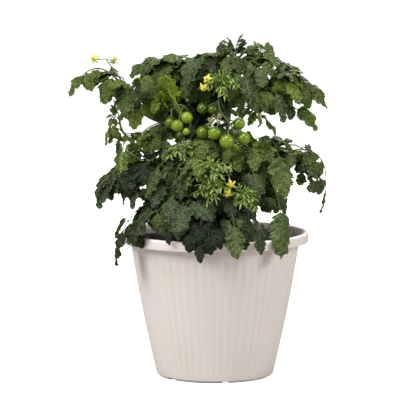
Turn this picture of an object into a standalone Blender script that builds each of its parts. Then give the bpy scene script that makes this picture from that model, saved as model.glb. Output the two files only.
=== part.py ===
"""A compact tomato plant growing in a pale tapered pot.

Blender 4.5, metres, +Z up. The pot stands on z = 0 with its axis on X = Y = 0, and the side
that is seen from the front faces -Y. Every table below is in millimetres.
"""
import itertools
import math

import bmesh
import bpy
from mathutils import Matrix, Vector
from mathutils.bvhtree import BVHTree

MM = 0.001
GAP = 0.3                       # between pieces that touch

# The pot, turned about Z
POT_HEIGHT = 217
POT_STEPS = 40
POT_FOOT = 3                    # height of the foot ring under the wall
POT_FLOOR = 6                   # top of the floor inside
POT_WALL = 2.8
BODY_FOOT_RADIUS = 87.8
BODY_FLARE = 48.9               # how much wider the wall gets up to the rim
BODY_BULGE = 10.2               # how much of that flare is used up low down
BODY_TOP = 200                  # where the wall meets the rim
RIM_RADIUS = 141
RIM_DROP = 15                   # height of the rim's outer band
RIM_WALL = 2.5
CHANNELS = 6
FIRST_CHANNEL = 41              # degrees about Z
CHANNEL_WIDTH, CHANNEL_DEPTH, CHANNEL_START = 12, 3, 34
CHANNEL_OVERRUN = 5             # how far its cutter passes the foot
DRAIN_RADIUS, DRAIN_AT, DRAIN_SIDES = 6, 58, 12
FLOOR_STEP = 2.5                # how far the floor's edge stands in from the wall's foot
INSIDE_FOOT = POT_FLOOR + 8     # where the inside of the wall starts, above the rounded floor edge

# The potting mix
SOIL_EDGE, SOIL_CROWN = 197, 201
SOIL_LEVELS = 150, 100, 50      # heights of its side between the top and the foot
SOIL_SHOULDER = 70, 200         # radius and height where its top starts to fall to the edge
STEM_SOCKET = 158               # how deep the foot of the stem goes

# Stems: where each springs from, its points, its radius at the foot and at the end
MAIN_STEM = [(0, 0, 158.5), (0, 0, 200), (0, 0, 218), (4, 0, 250), (8, -1, 295), (15, -2, 345),
             (22, 0, 400), (28, 2, 445), (31, 3, 478)]
MAIN_RADII = 5.2, 1.9
SHOOTS = [
    ("left_upper_shoot", 0.40, [(-28, -8, 330), (-66, -14, 374), (-96, -18, 389), (-122, -20, 408),
                                (-133, -20, 436)], 3.3, 1.6),
    ("left_lower_shoot", 0.22, [(-45, -18, 285), (-90, -28, 325), (-112, -32, 344), (-137, -35, 370),
                                (-143, -36, 394)], 3.1, 1.5),
    ("right_upper_shoot", 0.62, [(38, 4, 385), (62, 4, 415), (84, 0, 438)], 2.7, 1.6),
    ("right_lower_shoot", 0.26, [(28, -14, 272), (48, -22, 305), (62, -26, 332)], 3.1, 1.8),
    ("front_shoot", 0.19, [(-4, -34, 262), (2, -58, 290), (2, -76, 312)], 2.9, 1.6),
    ("back_shoot", 0.30, [(-6, 40, 300), (-14, 66, 350), (-20, 80, 395)], 3.1, 1.6),
]

# Fruit trusses: stem, place along it, the stalk's points, then each fruit's centre, radius and
# place along the stalk
TRUSS_RADIUS, PEDICEL_RADIUS = 1.3, 0.9
CALYX_RADIUS, CALYX_THICK = 4.2, 1.2
FRUIT_SQUASH = 0.93             # height of a fruit over its width
FRUIT_TRUSSES = [
    ("left_fruit_truss", "left_upper_shoot", 0.30, [(-36, -36, 380), (-42, -46, 404), (-54, -50, 411),
                                                     (-66, -46, 402)],
     [((-42, -60, 393), 9.0, 0.58), ((-56, -66, 382), 9.0, 0.78), ((-67, -53, 385), 7.5, 1.0),
      ((-43, -66, 373), 5.5, 0.45), ((-52, -50, 367), 5.0, 0.3)]),
    ("right_fruit_truss", "main_stem", 0.70, [(10, -28, 410), (5, -46, 420), (7, -58, 404),
                                              (15, -63, 393), (24, -67, 380), (28, -67, 369)],
     [((-19, -42, 405), 8.5, 0.42), ((-3, -48, 404), 8.0, 0.5), ((-18, -58, 371), 9.8, 0.66),
      ((-1, -70, 371), 10.2, 0.70), ((17, -84, 360), 11.2, 0.86), ((35, -62, 384), 9.5, 0.74),
      ((42, -70, 363), 9.8, 0.92), ((30, -66, 350), 7.0, 1.0)]),
]

# Flower trusses: stem, place along it, the stalk's points, then each flower's centre and facing
FLOWER_STALK_RADIUS = 0.9
FLOWER_RADIUS, FLOWER_THICK = 8.0, 1.2
ANTHER_RADIUS, ANTHER_LENGTH = 1.6, 7.0
FLOWER_TRUSSES = [
    ("flower_truss_left", "left_upper_shoot", 1.0, [(-150, -20, 460), (-163, -21, 478)],
     [((-180, -26, 478), (-0.5, -0.8, 0.1)), ((-149, -24, 474), (0.6, -0.6, -0.5))]),
    ("flower_truss_top", "main_stem", 0.78, [(2, -36, 448), (-8, -66, 458)],
     [((-12, -82, 452), (-0.2, -0.9, 0.2)), ((-18, -80, 438), (-0.3, -0.9, -0.3))]),
    ("flower_truss_front", "front_shoot", 1.0, [(12, -92, 318), (20, -100, 312)],
     [((23, -112, 299), (0.1, -0.9, -0.2)), ((17, -112, 285), (-0.1, -0.9, -0.3))]),
]

# Compound leaves: stem, place along it, the stalk's middle, its tip, pairs of leaflets, and length
# of the end leaflet
LEAVES = [
    ("leaf_far_left_top", "left_upper_shoot", 0.96, (-178, -22, 463), (-217, -30, 421), 3, 40),
    ("leaf_left_top_front", "left_upper_shoot", 0.88, (-131, -44, 437), (-134, -58, 396), 1, 46),
    ("leaf_left_top_bright", "left_upper_shoot", 0.92, (-154, -38, 446), (-166, -46, 412), 1, 36),
    ("leaf_up_left", "main_stem", 0.90, (-60, 14, 474), (-128, 8, 450), 3, 54),
    ("leaf_backlit", "left_upper_shoot", 0.48, (-68, -20, 420), (-70, -34, 454), 1, 44),
    ("leaf_top_dome", "main_stem", 0.94, (-16, -26, 482), (-42, -64, 442), 2, 54),
    ("leaf_top_front", "main_stem", 0.86, (38, -42, 462), (54, -74, 412), 2, 52),
    ("young_leaf_top", "main_stem", 1.0, (33, 2, 500), (43, -2, 514), 3, 13),
    ("leaf_right_top", "main_stem", 0.97, (70, 10, 484), (110, 2, 462), 3, 36),
    ("leaf_right_arc", "right_upper_shoot", 0.96, (132, -8, 446), (167, -12, 403), 3, 44),
    ("leaf_right_under", "main_stem", 0.68, (98, -14, 409), (152, -18, 370), 2, 46),
    ("leaf_right_front", "right_upper_shoot", 0.70, (86, -40, 432), (104, -58, 384), 2, 48),
    ("leaf_sprig_outer", "left_lower_shoot", 0.95, (-156, -42, 378), (-163, -46, 350), 2, 24),
    ("leaf_hanging_bright", "left_lower_shoot", 0.82, (-136, -46, 350), (-140, -56, 310), 2, 36),
    ("leaf_mid_left", "main_stem", 0.34, (-114, -41, 327), (-176, -44, 256), 3, 52),
    ("leaf_low_left", "main_stem", 0.21, (-102, -58, 264), (-149, -84, 176), 3, 56),
    ("leaf_low_left_front", "main_stem", 0.155, (-76, -74, 258), (-122, -106, 214), 2, 48),
    ("leaf_rim_left", "main_stem", 0.28, (-34, -84, 278), (-56, -138, 222), 2, 58),
    ("leaf_rim_middle", "main_stem", 0.145, (-18, -102, 258), (-22, -162, 190), 2, 50),
    ("leaf_rim_lit", "main_stem", 0.24, (22, -98, 262), (30, -160, 196), 2, 54),
    ("leaf_rim_right", "main_stem", 0.165, (50, -88, 250), (66, -148, 200), 2, 42),
    ("leaf_right_droop", "right_lower_shoot", 0.55, (86, -76, 292), (99, -122, 191), 1, 74),
    ("leaf_right_big", "right_lower_shoot", 0.97, (86, -48, 356), (102, -76, 275), 2, 66),
    ("leaf_far_right", "right_lower_shoot", 0.85, (150, -34, 337), (158, -45, 248), 4, 38),
    ("leaf_centre_droop", "front_shoot", 0.62, (-30, -82, 338), (-44, -102, 290), 2, 50),
    ("leaf_centre_left", "left_lower_shoot", 0.42, (-74, -60, 330), (-104, -78, 276), 2, 50),
    ("leaf_back_top", "back_shoot", 0.97, (-34, 112, 440), (-52, 150, 396), 3, 50),
    ("leaf_back_left", "back_shoot", 0.70, (-85, 92, 372), (-138, 108, 318), 3, 50),
    ("leaf_back_right", "back_shoot", 0.85, (48, 112, 396), (98, 132, 344), 3, 50),
    ("leaf_back_low", "back_shoot", 0.35, (-10, 104, 304), (-14, 150, 238), 3, 50),
    ("young_tuft_top", "main_stem", 0.82, (6, -62, 440), (2, -90, 456), 3, 20),
    ("young_tuft_middle", "front_shoot", 0.94, (-8, -96, 318), (-8, -106, 340), 3, 20),
    ("young_tuft_right", "front_shoot", 0.80, (34, -94, 280), (48, -108, 290), 3, 20),
]
LEAF_THICK = 0.9
STALK_WIDTH = 3.2
LEAFLET_WIDTH = 0.66            # a side leaflet's width over its length
END_LEAFLET_WIDTH = 0.54        # and the end leaflet's
LEAFLET_ANGLE = 62              # from the stalk, degrees
LEAFLET_DROOP = 22              # at its foot, degrees
LEAFLET_CURL = 52               # from its foot to its tip, degrees
LEAFLET_ROWS = ((0.36, 1.0), (0.72, 0.72), (1.0, 0.0))   # along it, share of its full width
PAIR_PLACES = {1: (0.84,), 2: (0.58, 0.90), 3: (0.42, 0.67, 0.92), 4: (0.34, 0.54, 0.74, 0.93)}
PAIR_SIZES = {1: (0.85,), 2: (0.74, 0.92), 3: (0.62, 0.84, 0.92), 4: (0.65, 0.85, 0.95, 0.95)}
LINE_STEPS = 32                 # straight steps that stand for a leaf's curve
CLEARANCE = 1.2                 # kept free on both sides of a leaf's middle surface
FOOT_STEP = 2.6                 # how far from its foot a leaf or leaflet starts to keep clear
# A leaf that would touch another is turned a little: steps of swing, lift and roll
TURN_STEPS = sorted(itertools.product((0, 1, -1, 2, -2), repeat=3),
                    key=lambda turn: sum(abs(step) for step in turn))
TURN_ANGLE = 13
SHRINKS = (1.0, 0.8, 0.6)


for old in list(bpy.data.objects):
    bpy.data.objects.remove(old, do_unlink=True)


def collection(name):
    made = bpy.data.collections.new(name)
    bpy.context.scene.collection.children.link(made)
    return made


PLANT = collection("tomato_plant_in_pot")
CUTTERS = collection("cutters")
ROOT = bpy.data.objects.new("tomato_plant", None)
PLANT.objects.link(ROOT)


def material(name, colour, roughness):
    """A plain Principled material."""
    made = bpy.data.materials.new(name)
    made.use_nodes = True
    shader = made.node_tree.nodes["Principled BSDF"]
    shader.inputs["Base Color"].default_value = (*colour, 1)
    shader.inputs["Roughness"].default_value = roughness
    return made


POT_PLASTIC = material("pot_plastic", (0.76, 0.69, 0.62), 0.45)
MIX = material("potting_mix", (0.035, 0.018, 0.012), 0.95)
STEM_GREEN = material("stem_green", (0.10, 0.17, 0.05), 0.6)
LEAF_GREEN = material("leaf_green", (0.045, 0.085, 0.025), 0.55)
YOUNG_GREEN = material("young_green", (0.13, 0.27, 0.04), 0.5)
FRUIT_GREEN = material("fruit_green", (0.22, 0.36, 0.03), 0.2)
PETAL_YELLOW = material("petal_yellow", (0.80, 0.58, 0.05), 0.5)


def add(name, mesh_or_curve, surface, at=(0, 0, 0)):
    """A named object of the plant, standing at a place in metres."""
    made = bpy.data.objects.new(name, mesh_or_curve)
    made.data.materials.append(surface)
    made.location = at
    made.parent = ROOT
    PLANT.objects.link(made)
    return made


def mesh_of(bm, name, smooth=False):
    mesh = bpy.data.meshes.new(name)
    for face in bm.faces:
        face.smooth = smooth
    bm.to_mesh(mesh)
    bm.free()
    return mesh


def turned(name, points, gap, surface):
    """A body turned about Z from a line of (radius, height) points in mm, with one side left open."""
    mesh = bpy.data.meshes.new(name)
    edges = [(i, (i + 1) % len(points)) for i in range(len(points)) if i != gap]
    mesh.from_pydata([(r * MM, 0, z * MM) for r, z in points], edges, [])
    made = add(name, mesh, surface)
    screw = made.modifiers.new("turned", "SCREW")
    screw.axis = "Z"
    screw.steps = screw.render_steps = POT_STEPS
    screw.use_merge_vertices = True
    screw.merge_threshold = 0.00001
    return made


def body_radius(z):
    """The outer radius of the pot's wall at a height, a straight flare that slows a little."""
    t = (z - POT_FOOT) / (BODY_TOP - POT_FOOT)
    return BODY_FOOT_RADIUS + BODY_FLARE * t - BODY_BULGE * t * t


def build_pot():
    """One moulding: foot, tapered wall, down-turned rim, and drain channels under the floor."""
    wall_heights = [BODY_TOP - i * (BODY_TOP - POT_FOOT) / 5 for i in range(6)]
    inner_heights = [INSIDE_FOOT + i * (BODY_TOP - INSIDE_FOOT) / 4 for i in range(5)]
    rim_low = POT_HEIGHT - RIM_DROP
    rim = [(RIM_RADIUS - 6, POT_HEIGHT), (RIM_RADIUS - 2, POT_HEIGHT),
           (RIM_RADIUS, POT_HEIGHT - 2), (RIM_RADIUS - 0.5, rim_low + 1),
           (RIM_RADIUS - 1.3, rim_low), (RIM_RADIUS - RIM_WALL - 0.6, rim_low + 0.8),
           (RIM_RADIUS - RIM_WALL - 0.4, POT_HEIGHT - 6), (RIM_RADIUS - 6, POT_HEIGHT - 3.2),
           (RIM_RADIUS - 10, POT_HEIGHT - 4.5), (body_radius(BODY_TOP) + 1.8, BODY_TOP + 8)]
    wall = [(body_radius(z), z) for z in wall_heights]
    foot = [(BODY_FOOT_RADIUS - 3.5, POT_FOOT), (BODY_FOOT_RADIUS - 3.5, 0), (0, 0)]
    floor = [(0, POT_FLOOR), (BODY_FOOT_RADIUS - POT_WALL - FLOOR_STEP, POT_FLOOR)]
    inside = [(body_radius(z) - POT_WALL, z) for z in inner_heights]
    mouth = [(body_radius(BODY_TOP) + 1.4, BODY_TOP + 10), (RIM_RADIUS - 8.5, POT_HEIGHT - 1)]
    under = rim + wall + foot
    pot = turned("pot", under + floor + inside + mouth, len(under) - 1, POT_PLASTIC)

    channels, drains = bmesh.new(), bmesh.new()
    length = BODY_FOOT_RADIUS + CHANNEL_OVERRUN - CHANNEL_START
    size = Matrix.Diagonal((length * MM, CHANNEL_WIDTH * MM, 2 * CHANNEL_DEPTH * MM, 1))
    for i in range(CHANNELS):
        turn = Matrix.Rotation(math.radians(FIRST_CHANNEL) + math.tau * i / CHANNELS, 4, "Z")
        middle = Matrix.Translation(((CHANNEL_START + length / 2) * MM, 0, 0))
        bmesh.ops.create_cube(channels, size=1, matrix=turn @ middle @ size)
        bmesh.ops.create_cone(drains, cap_ends=True, segments=DRAIN_SIDES, radius1=DRAIN_RADIUS * MM,
                              radius2=DRAIN_RADIUS * MM, depth=4 * POT_FLOOR * MM,
                              matrix=turn @ Matrix.Translation((DRAIN_AT * MM, 0, 0)))
    cut(pot, "channel_cutter", channels)
    cut(pot, "drain_cutter", drains)
    return pot


def cut(target, name, bm):
    """Takes a cutter's shape out of a piece."""
    cutter = bpy.data.objects.new(name, mesh_of(bm, name))
    cutter.hide_render = True
    cutter.display_type = "WIRE"
    CUTTERS.objects.link(cutter)
    boolean = target.modifiers.new(name, "BOOLEAN")
    boolean.operation = "DIFFERENCE"
    boolean.solver = "EXACT"
    boolean.object = cutter


def build_soil():
    """The bed of potting mix, with a socket for the foot of the main stem."""
    outer = [(body_radius(z) - POT_WALL - GAP, z) for z in (SOIL_EDGE, *SOIL_LEVELS, INSIDE_FOOT)]
    foot = [(BODY_FOOT_RADIUS - POT_WALL - FLOOR_STEP - GAP, POT_FLOOR + GAP), (0, POT_FLOOR + GAP)]
    socket = MAIN_RADII[0] + 2 * GAP
    inner = [(0, STEM_SOCKET), (socket, STEM_SOCKET), (socket, SOIL_CROWN), SOIL_SHOULDER]
    return turned("potting_mix", outer + foot + inner, len(outer) + len(foot) - 1, MIX)


def smooth_path(points, per_span):
    """A Catmull-Rom curve through hand-chosen points, in mm."""
    knots = [Vector(p) for p in points]
    knots = [2 * knots[0] - knots[1]] + knots + [2 * knots[-1] - knots[-2]]
    path = []
    for a, b, c, d in zip(knots, knots[1:], knots[2:], knots[3:]):
        for i in range(per_span):
            t = i / per_span
            path.append(0.5 * (2 * b + (c - a) * t + (2 * a - 5 * b + 4 * c - d) * t * t
                               + (3 * b - a - 3 * c + d) * t ** 3))
    return path + [knots[-2]]


class Stem:
    """A stem's smooth path and its radius along it, in mm."""

    def __init__(self, points, foot_radius, end_radius, per_span=3):
        self.path = smooth_path(points, per_span)
        steps = [(b - a).length for a, b in zip(self.path, self.path[1:])]
        self.along = [0.0]
        for step in steps:
            self.along.append(self.along[-1] + step)
        self.foot_radius, self.end_radius = foot_radius, end_radius

    def at(self, share):
        """The point, direction and radius at a share of the length."""
        wanted = share * self.along[-1]
        i = max(i for i, run in enumerate(self.along[:-1]) if run <= wanted)
        a, b = self.path[i], self.path[i + 1]
        t = (wanted - self.along[i]) / (self.along[i + 1] - self.along[i])
        return a.lerp(b, t), (b - a).normalized(), self.radius(share)

    def radius(self, share):
        return self.foot_radius + (self.end_radius - self.foot_radius) * share

    def start_for(self, share, toward, radius):
        """Where a branch of some radius starts, so that its end clears this stem's surface."""
        place, along, own_radius = self.at(share)
        heading = (Vector(toward) - place).normalized()
        if share > 0.985:
            reach = GAP + radius * math.sqrt(max(0, 1 - heading.dot(along) ** 2))
            return place + along * reach
        across = math.sqrt(max(0.12, 1 - heading.dot(along) ** 2))
        reach = (own_radius + radius * abs(heading.dot(along)) + GAP) / across
        return place + heading * reach


def tube(name, stem, surface, sides=2):
    """A stem as a curve with a round bevel that narrows along it."""
    curve = bpy.data.curves.new(name, "CURVE")
    curve.dimensions = "3D"
    curve.bevel_depth = MM
    curve.bevel_resolution = sides
    curve.use_fill_caps = True
    spline = curve.splines.new("POLY")
    spline.points.add(len(stem.path) - 1)
    for point, place, run in zip(spline.points, stem.path, stem.along):
        point.co = (*(place * MM), 1)
        point.radius = stem.radius(run / stem.along[-1])
    spline.use_smooth = True
    return add(name, curve, surface)


def evaluated_mesh(thing):
    """A mesh copy of an object as its modifiers leave it."""
    depsgraph = bpy.context.evaluated_depsgraph_get()
    return bpy.data.meshes.new_from_object(thing.evaluated_get(depsgraph))


def tree_of(thing):
    """A search tree of an object's surface in world millimetres."""
    bpy.context.view_layer.update()
    mesh = evaluated_mesh(thing)
    places = [(thing.matrix_world @ v.co) / MM for v in mesh.vertices]
    return BVHTree.FromPolygons(places, [tuple(p.vertices) for p in mesh.polygons])


def curve_to_mesh(thing):
    """Swaps a curve object for a mesh object of the same name, place and material."""
    name, surface = thing.name, thing.data.materials[0]
    mesh = evaluated_mesh(thing)
    bm = bmesh.new()
    bm.from_mesh(mesh)
    bmesh.ops.remove_doubles(bm, verts=bm.verts, dist=0.000002)
    bm.to_mesh(mesh)
    bm.free()
    bpy.data.objects.remove(thing, do_unlink=True)
    mesh.materials.clear()
    return add(name, mesh, surface)


def join_to(target, bodies):
    """Grows closed bodies onto a piece, each by an exact union, and keeps the result as its mesh."""
    for number, bm in enumerate(bodies):
        name = f"{target.name}_{number}"
        other = bpy.data.objects.new(name, mesh_of(bm, name))
        CUTTERS.objects.link(other)
        boolean = target.modifiers.new(name, "BOOLEAN")
        boolean.operation = "UNION"
        boolean.solver = "EXACT"
        boolean.object = other
        bpy.context.view_layer.update()
        mesh = evaluated_mesh(target)
        target.modifiers.clear()
        target.data = mesh
        bpy.data.objects.remove(other, do_unlink=True)


def rod(start, end, radius, end_radius=None, segments=8):
    """A closed round rod between two points in mm."""
    bm = bmesh.new()
    along = Vector(end) - Vector(start)
    turn = along.to_track_quat("Z", "Y").to_matrix().to_4x4()
    middle = Matrix.Translation((Vector(start) + Vector(end)) / 2 * MM)
    bmesh.ops.create_cone(bm, cap_ends=True, segments=segments, radius1=radius * MM,
                          radius2=(radius if end_radius is None else end_radius) * MM,
                          depth=along.length * MM, matrix=middle @ turn)
    return bm


def build_fruit_truss(name, stem_name, share, points, fruits, stems):
    """A branched fruit stalk with a calyx over each tomato, and the tomatoes themselves."""
    stem = stems[stem_name]
    start = stem.start_for(share, points[0], TRUSS_RADIUS)
    stalk = Stem([start, *points], TRUSS_RADIUS, TRUSS_RADIUS * 0.8, 2)
    truss = curve_to_mesh(tube(name, stalk, STEM_GREEN, 1))
    bodies, made = [], []
    for number, (centre, radius, place) in enumerate(fruits, 1):
        centre = Vector(centre)
        node = stalk.at(min(place, 0.97))[0]
        up = (node - centre).normalized()
        top = centre + up * (radius * FRUIT_SQUASH + GAP)
        crown = top + up * CALYX_THICK
        bodies.append(rod(node, top + up * CALYX_THICK * 0.5, PEDICEL_RADIUS, segments=6))
        bodies.append(rod(top, crown, CALYX_RADIUS * radius / 10, PEDICEL_RADIUS * 1.3, segments=10))
        made.append(build_fruit(f"tomato_{name.split('_')[0]}_{number}", centre, radius, up))
    join_to(truss, bodies)
    return [truss, *made]


def build_fruit(name, centre, radius, up):
    """One round green tomato, a little flattened from stalk to tip."""
    bm = bmesh.new()
    bmesh.ops.create_uvsphere(bm, u_segments=12, v_segments=8, radius=radius * MM,
                              matrix=Matrix.Diagonal((1, 1, FRUIT_SQUASH, 1)))
    fruit = add(name, mesh_of(bm, name, smooth=True), FRUIT_GREEN, centre * MM)
    fruit.rotation_euler = up.to_track_quat("Z", "Y").to_euler()
    return fruit


def build_flower_truss(name, stem_name, share, points, flowers, stems):
    """A thin stalk that forks to its flowers, each one a flat corolla and a cone of anthers."""
    stem = stems[stem_name]
    start = stem.start_for(share, points[0], FLOWER_STALK_RADIUS)
    stalk = Stem([start, *points], FLOWER_STALK_RADIUS * 1.2, FLOWER_STALK_RADIUS, 2)
    truss = curve_to_mesh(tube(name, stalk, PETAL_YELLOW, 1))
    bodies = []
    fork = stalk.at(0.985)[0]
    for centre, facing in flowers:
        centre, facing = Vector(centre), Vector(facing).normalized()
        back = centre - facing * FLOWER_THICK
        bodies.append(rod(fork, back + facing * 0.5, FLOWER_STALK_RADIUS, segments=6))
        bodies.append(rod(back, centre, FLOWER_RADIUS * 0.4, FLOWER_RADIUS, segments=10))
        bodies.append(rod(centre - facing * 0.4, centre + facing * ANTHER_LENGTH, ANTHER_RADIUS,
                          ANTHER_RADIUS * 0.4, segments=6))
    join_to(truss, bodies)
    return [truss]


class LeafLine:
    """The curve of a leaf's stalk and midrib: a parabola from foot through middle to tip, in mm."""

    def __init__(self, start, middle, tip):
        self.start, self.tip = Vector(start), Vector(tip)
        self.bend = 2 * Vector(middle) - (self.start + self.tip) / 2
        path = [self.point(i / LINE_STEPS) for i in range(LINE_STEPS + 1)]
        self.runs = [0.0]
        for a, b in zip(path, path[1:]):
            self.runs.append(self.runs[-1] + (b - a).length)
        self.length = self.runs[-1]
        heading = self.tip - self.start
        heading.z = 0
        self.side = heading.normalized().cross(Vector((0, 0, 1)))

    def point(self, t):
        return (1 - t) ** 2 * self.start + 2 * (1 - t) * t * self.bend + t * t * self.tip

    def share_at(self, run):
        """The parabola's own parameter at a length along it."""
        run = min(max(run, 0), self.length)
        i = max(i for i, passed in enumerate(self.runs[:-1]) if passed <= run)
        return (i + (run - self.runs[i]) / (self.runs[i + 1] - self.runs[i])) / (len(self.runs) - 1)

    def frame(self, run):
        """Place, tangent, sideways and upward directions at a length along the curve."""
        t = self.share_at(run)
        tangent = ((1 - t) * (self.bend - self.start) + t * (self.tip - self.bend)).normalized()
        side = (self.side - self.side.dot(tangent) * tangent).normalized()
        return self.point(t), tangent, side, side.cross(tangent)


class Leaf:
    """One compound leaf: its line, where its leaflet pairs stand, and the rows of its blade."""

    def __init__(self, line, pairs, size):
        self.line, self.size = line, min(size, 0.6 * line.length)
        self.stalk = line.length - self.size
        self.places = [share * self.stalk for share in PAIR_PLACES[pairs]]
        self.sizes = [share * self.size for share in PAIR_SIZES[pairs]]

    def stalk_rows(self):
        """Pairs of points down both sides of the stalk, then the end leaflet."""
        half = STALK_WIDTH / 2
        runs = [0.0]
        for place in self.places:
            if place - runs[-1] > 8 * half:
                runs.append((place - half + runs[-1]) / 2)
            runs += [place - half, place + half]
        runs.append(self.stalk)
        rows = []
        for run in runs:
            place, _, side, _ = self.line.frame(run)
            rows.append((place - side * half, place + side * half))
        for share, width in LEAFLET_ROWS:
            place, _, side, _ = self.line.frame(self.stalk + share * self.size)
            reach = side * (width * self.size * END_LEAFLET_WIDTH / 2)
            rows.append((place - reach, place + reach))
        return rows

    def leaflet_rows(self, pair, sign, turn, shrink):
        """Pairs of points down one side leaflet, from the stalk's edge to its tip."""
        half = STALK_WIDTH / 2
        place = self.places[pair]
        _, tangent, side, up = self.line.frame(place)
        foot = [self.line.frame(run) for run in (place - half, place + half)]
        rows = [tuple(p + s * (sign * half) for p, _, s, _ in foot)]
        swing, lift, roll = (math.radians(TURN_ANGLE * step) for step in turn)
        angle = math.radians(LEAFLET_ANGLE) + swing
        droop = math.radians(LEAFLET_DROOP) + lift
        along = tangent * math.cos(angle) + side * (sign * math.sin(angle))
        hinge = up.cross(along)
        along, up = Matrix.Rotation(droop, 3, hinge) @ along, Matrix.Rotation(droop, 3, hinge) @ up
        up = Matrix.Rotation(roll, 3, along) @ up
        across = up.cross(along) * sign
        length = self.sizes[pair] * shrink
        start = (rows[0][0] + rows[0][1]) / 2
        curl = math.radians(LEAFLET_CURL)
        for share, width in LEAFLET_ROWS:
            out = math.sin(curl * share) / curl * length
            down = (1 - math.cos(curl * share)) / curl * length
            middle = start + along * out - up * down
            reach = across * (width * length * LEAFLET_WIDTH / 2)
            rows.append((middle - reach, middle + reach))
        return rows


def slab_tree(rows):
    """A search tree of a closed slab around a strip, thick enough to keep its neighbours clear."""
    count = len(rows)
    middles = [(a + b) / 2 for a, b in rows]
    layers = [[], []]
    for i, (a, b) in enumerate(rows):
        along = middles[min(i + 1, count - 1)] - middles[max(i - 1, 0)]
        widest = max(rows, key=lambda row: (row[1] - row[0]).length)
        across = (widest[1] - widest[0]).normalized()
        normal = across.cross(along).normalized() * CLEARANCE
        spread = across * CLEARANCE
        for layer, sign in zip(layers, (1, -1)):
            layer += [a - spread + normal * sign, b + spread + normal * sign]
    places = layers[0] + layers[1]
    low = 2 * count
    faces = []
    for i in range(count - 1):
        k = 2 * i
        faces += [(k, k + 1, k + 3, k + 2), (low + k, low + k + 2, low + k + 3, low + k + 1),
                  (k, k + 2, low + k + 2, low + k), (k + 1, low + k + 1, low + k + 3, k + 3)]
    faces += [(0, low, low + 1, 1), (low - 2, low - 1, 2 * low - 1, 2 * low - 2)]
    return BVHTree.FromPolygons(places, faces)


def strip_tree(rows):
    """A search tree of a strip's middle surface."""
    places = [point for row in rows for point in row]
    faces = [(k, k + 1, k + 3, k + 2) for k in range(0, len(places) - 2, 2)]
    return BVHTree.FromPolygons(places, faces)


def past_foot(rows):
    """The same strip from a little past its foot, where it stands close to what it springs from."""
    foot, onward = ((a + b) / 2 for a, b in rows[:2])
    step = (onward - foot).normalized() * FOOT_STEP
    return [tuple(point.lerp(foot, 0.4) + step for point in rows[0])] + rows[1:]


def is_clear(rows, taken, own):
    """Whether a strip keeps clear of all that is there, and past its foot of what it springs from."""
    whole, past = slab_tree(rows), slab_tree(past_foot(rows))
    return not any((past if name == own else whole).overlap(tree) for name, tree in taken)


def place_stalks(stems, taken):
    """Each leaf's stalk and end leaflet, which have to keep clear of what is there."""
    leaves = []
    for name, stem_name, share, middle, tip, pairs, size in LEAVES:
        start = stems[stem_name].start_for(share, middle, STALK_WIDTH / 2)
        leaf = Leaf(LeafLine(start, middle, tip), pairs, size)
        rows = leaf.stalk_rows()
        if not is_clear(rows, taken, stem_name):
            print("no clear way for", name)
        taken.append((name, strip_tree(rows)))
        leaves.append((name, leaf, []))
    return leaves


def place_leaflets(leaves, taken):
    """Each side leaflet, turned a little, or made smaller, where it would touch what is there."""
    for name, leaf, blades in leaves:
        for pair in reversed(range(len(leaf.places))):
            for sign in (1, -1):
                for shrink, turn in itertools.product(SHRINKS, TURN_STEPS):
                    rows = leaf.leaflet_rows(pair, sign, turn, shrink)
                    if is_clear(rows, taken, name):
                        blades.append(rows)
                        taken.append((name, strip_tree(rows)))
                        break
                else:
                    print("no clear place for a leaflet of", name)


def strip(bm, rows, origin):
    """A one-cell-wide grid laid through pairs of points."""
    grid = bmesh.ops.create_grid(bm, x_segments=1, y_segments=len(rows) - 1, size=1)["verts"]
    for vert, point in zip(grid, [point for row in rows for point in row]):
        vert.co = (point - origin) * MM


def build_leaf(name, leaf, blades):
    """The stalk and its leaflets welded into one sheet, then given its thickness."""
    bm = bmesh.new()
    origin = leaf.line.start
    strip(bm, leaf.stalk_rows(), origin)
    for rows in blades:
        strip(bm, rows, origin)
    bmesh.ops.remove_doubles(bm, verts=bm.verts, dist=0.00001)
    bmesh.ops.recalc_face_normals(bm, faces=bm.faces)
    surface = YOUNG_GREEN if name.startswith("young") else LEAF_GREEN
    made = add(name, mesh_of(bm, name), surface, origin * MM)
    solid = made.modifiers.new("thickness", "SOLIDIFY")
    solid.thickness = LEAF_THICK * MM
    solid.offset = 0
    return made


def build_plant():
    stems = {"main_stem": Stem(MAIN_STEM, *MAIN_RADII, 2)}
    pieces = [tube("main_stem", stems["main_stem"], STEM_GREEN)]
    for name, share, points, foot_radius, end_radius in SHOOTS:
        start = stems["main_stem"].start_for(share, points[0], foot_radius)
        stems[name] = Stem([start, *points], foot_radius, end_radius)
        pieces.append(tube(name, stems[name], STEM_GREEN, 1))
    for truss in FRUIT_TRUSSES:
        pieces += build_fruit_truss(*truss, stems)
    for truss in FLOWER_TRUSSES:
        pieces += build_flower_truss(*truss, stems)
    pieces += [build_pot(), build_soil()]
    taken = [(piece.name, tree_of(piece)) for piece in pieces]
    leaves = place_stalks(stems, taken)
    place_leaflets(leaves, taken)
    for name, leaf, blades in leaves:
        build_leaf(name, leaf, blades)


build_plant()
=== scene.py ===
"""A compact tomato plant growing in a pale ribbed pot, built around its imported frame.

Blender 4.5, metres, +Z up. The pot stands on z = 0 with its axis on X = Y = 0, and its front faces -Y.
Sizes are in millimetres until a mesh is made.
"""
import itertools
import math

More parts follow.
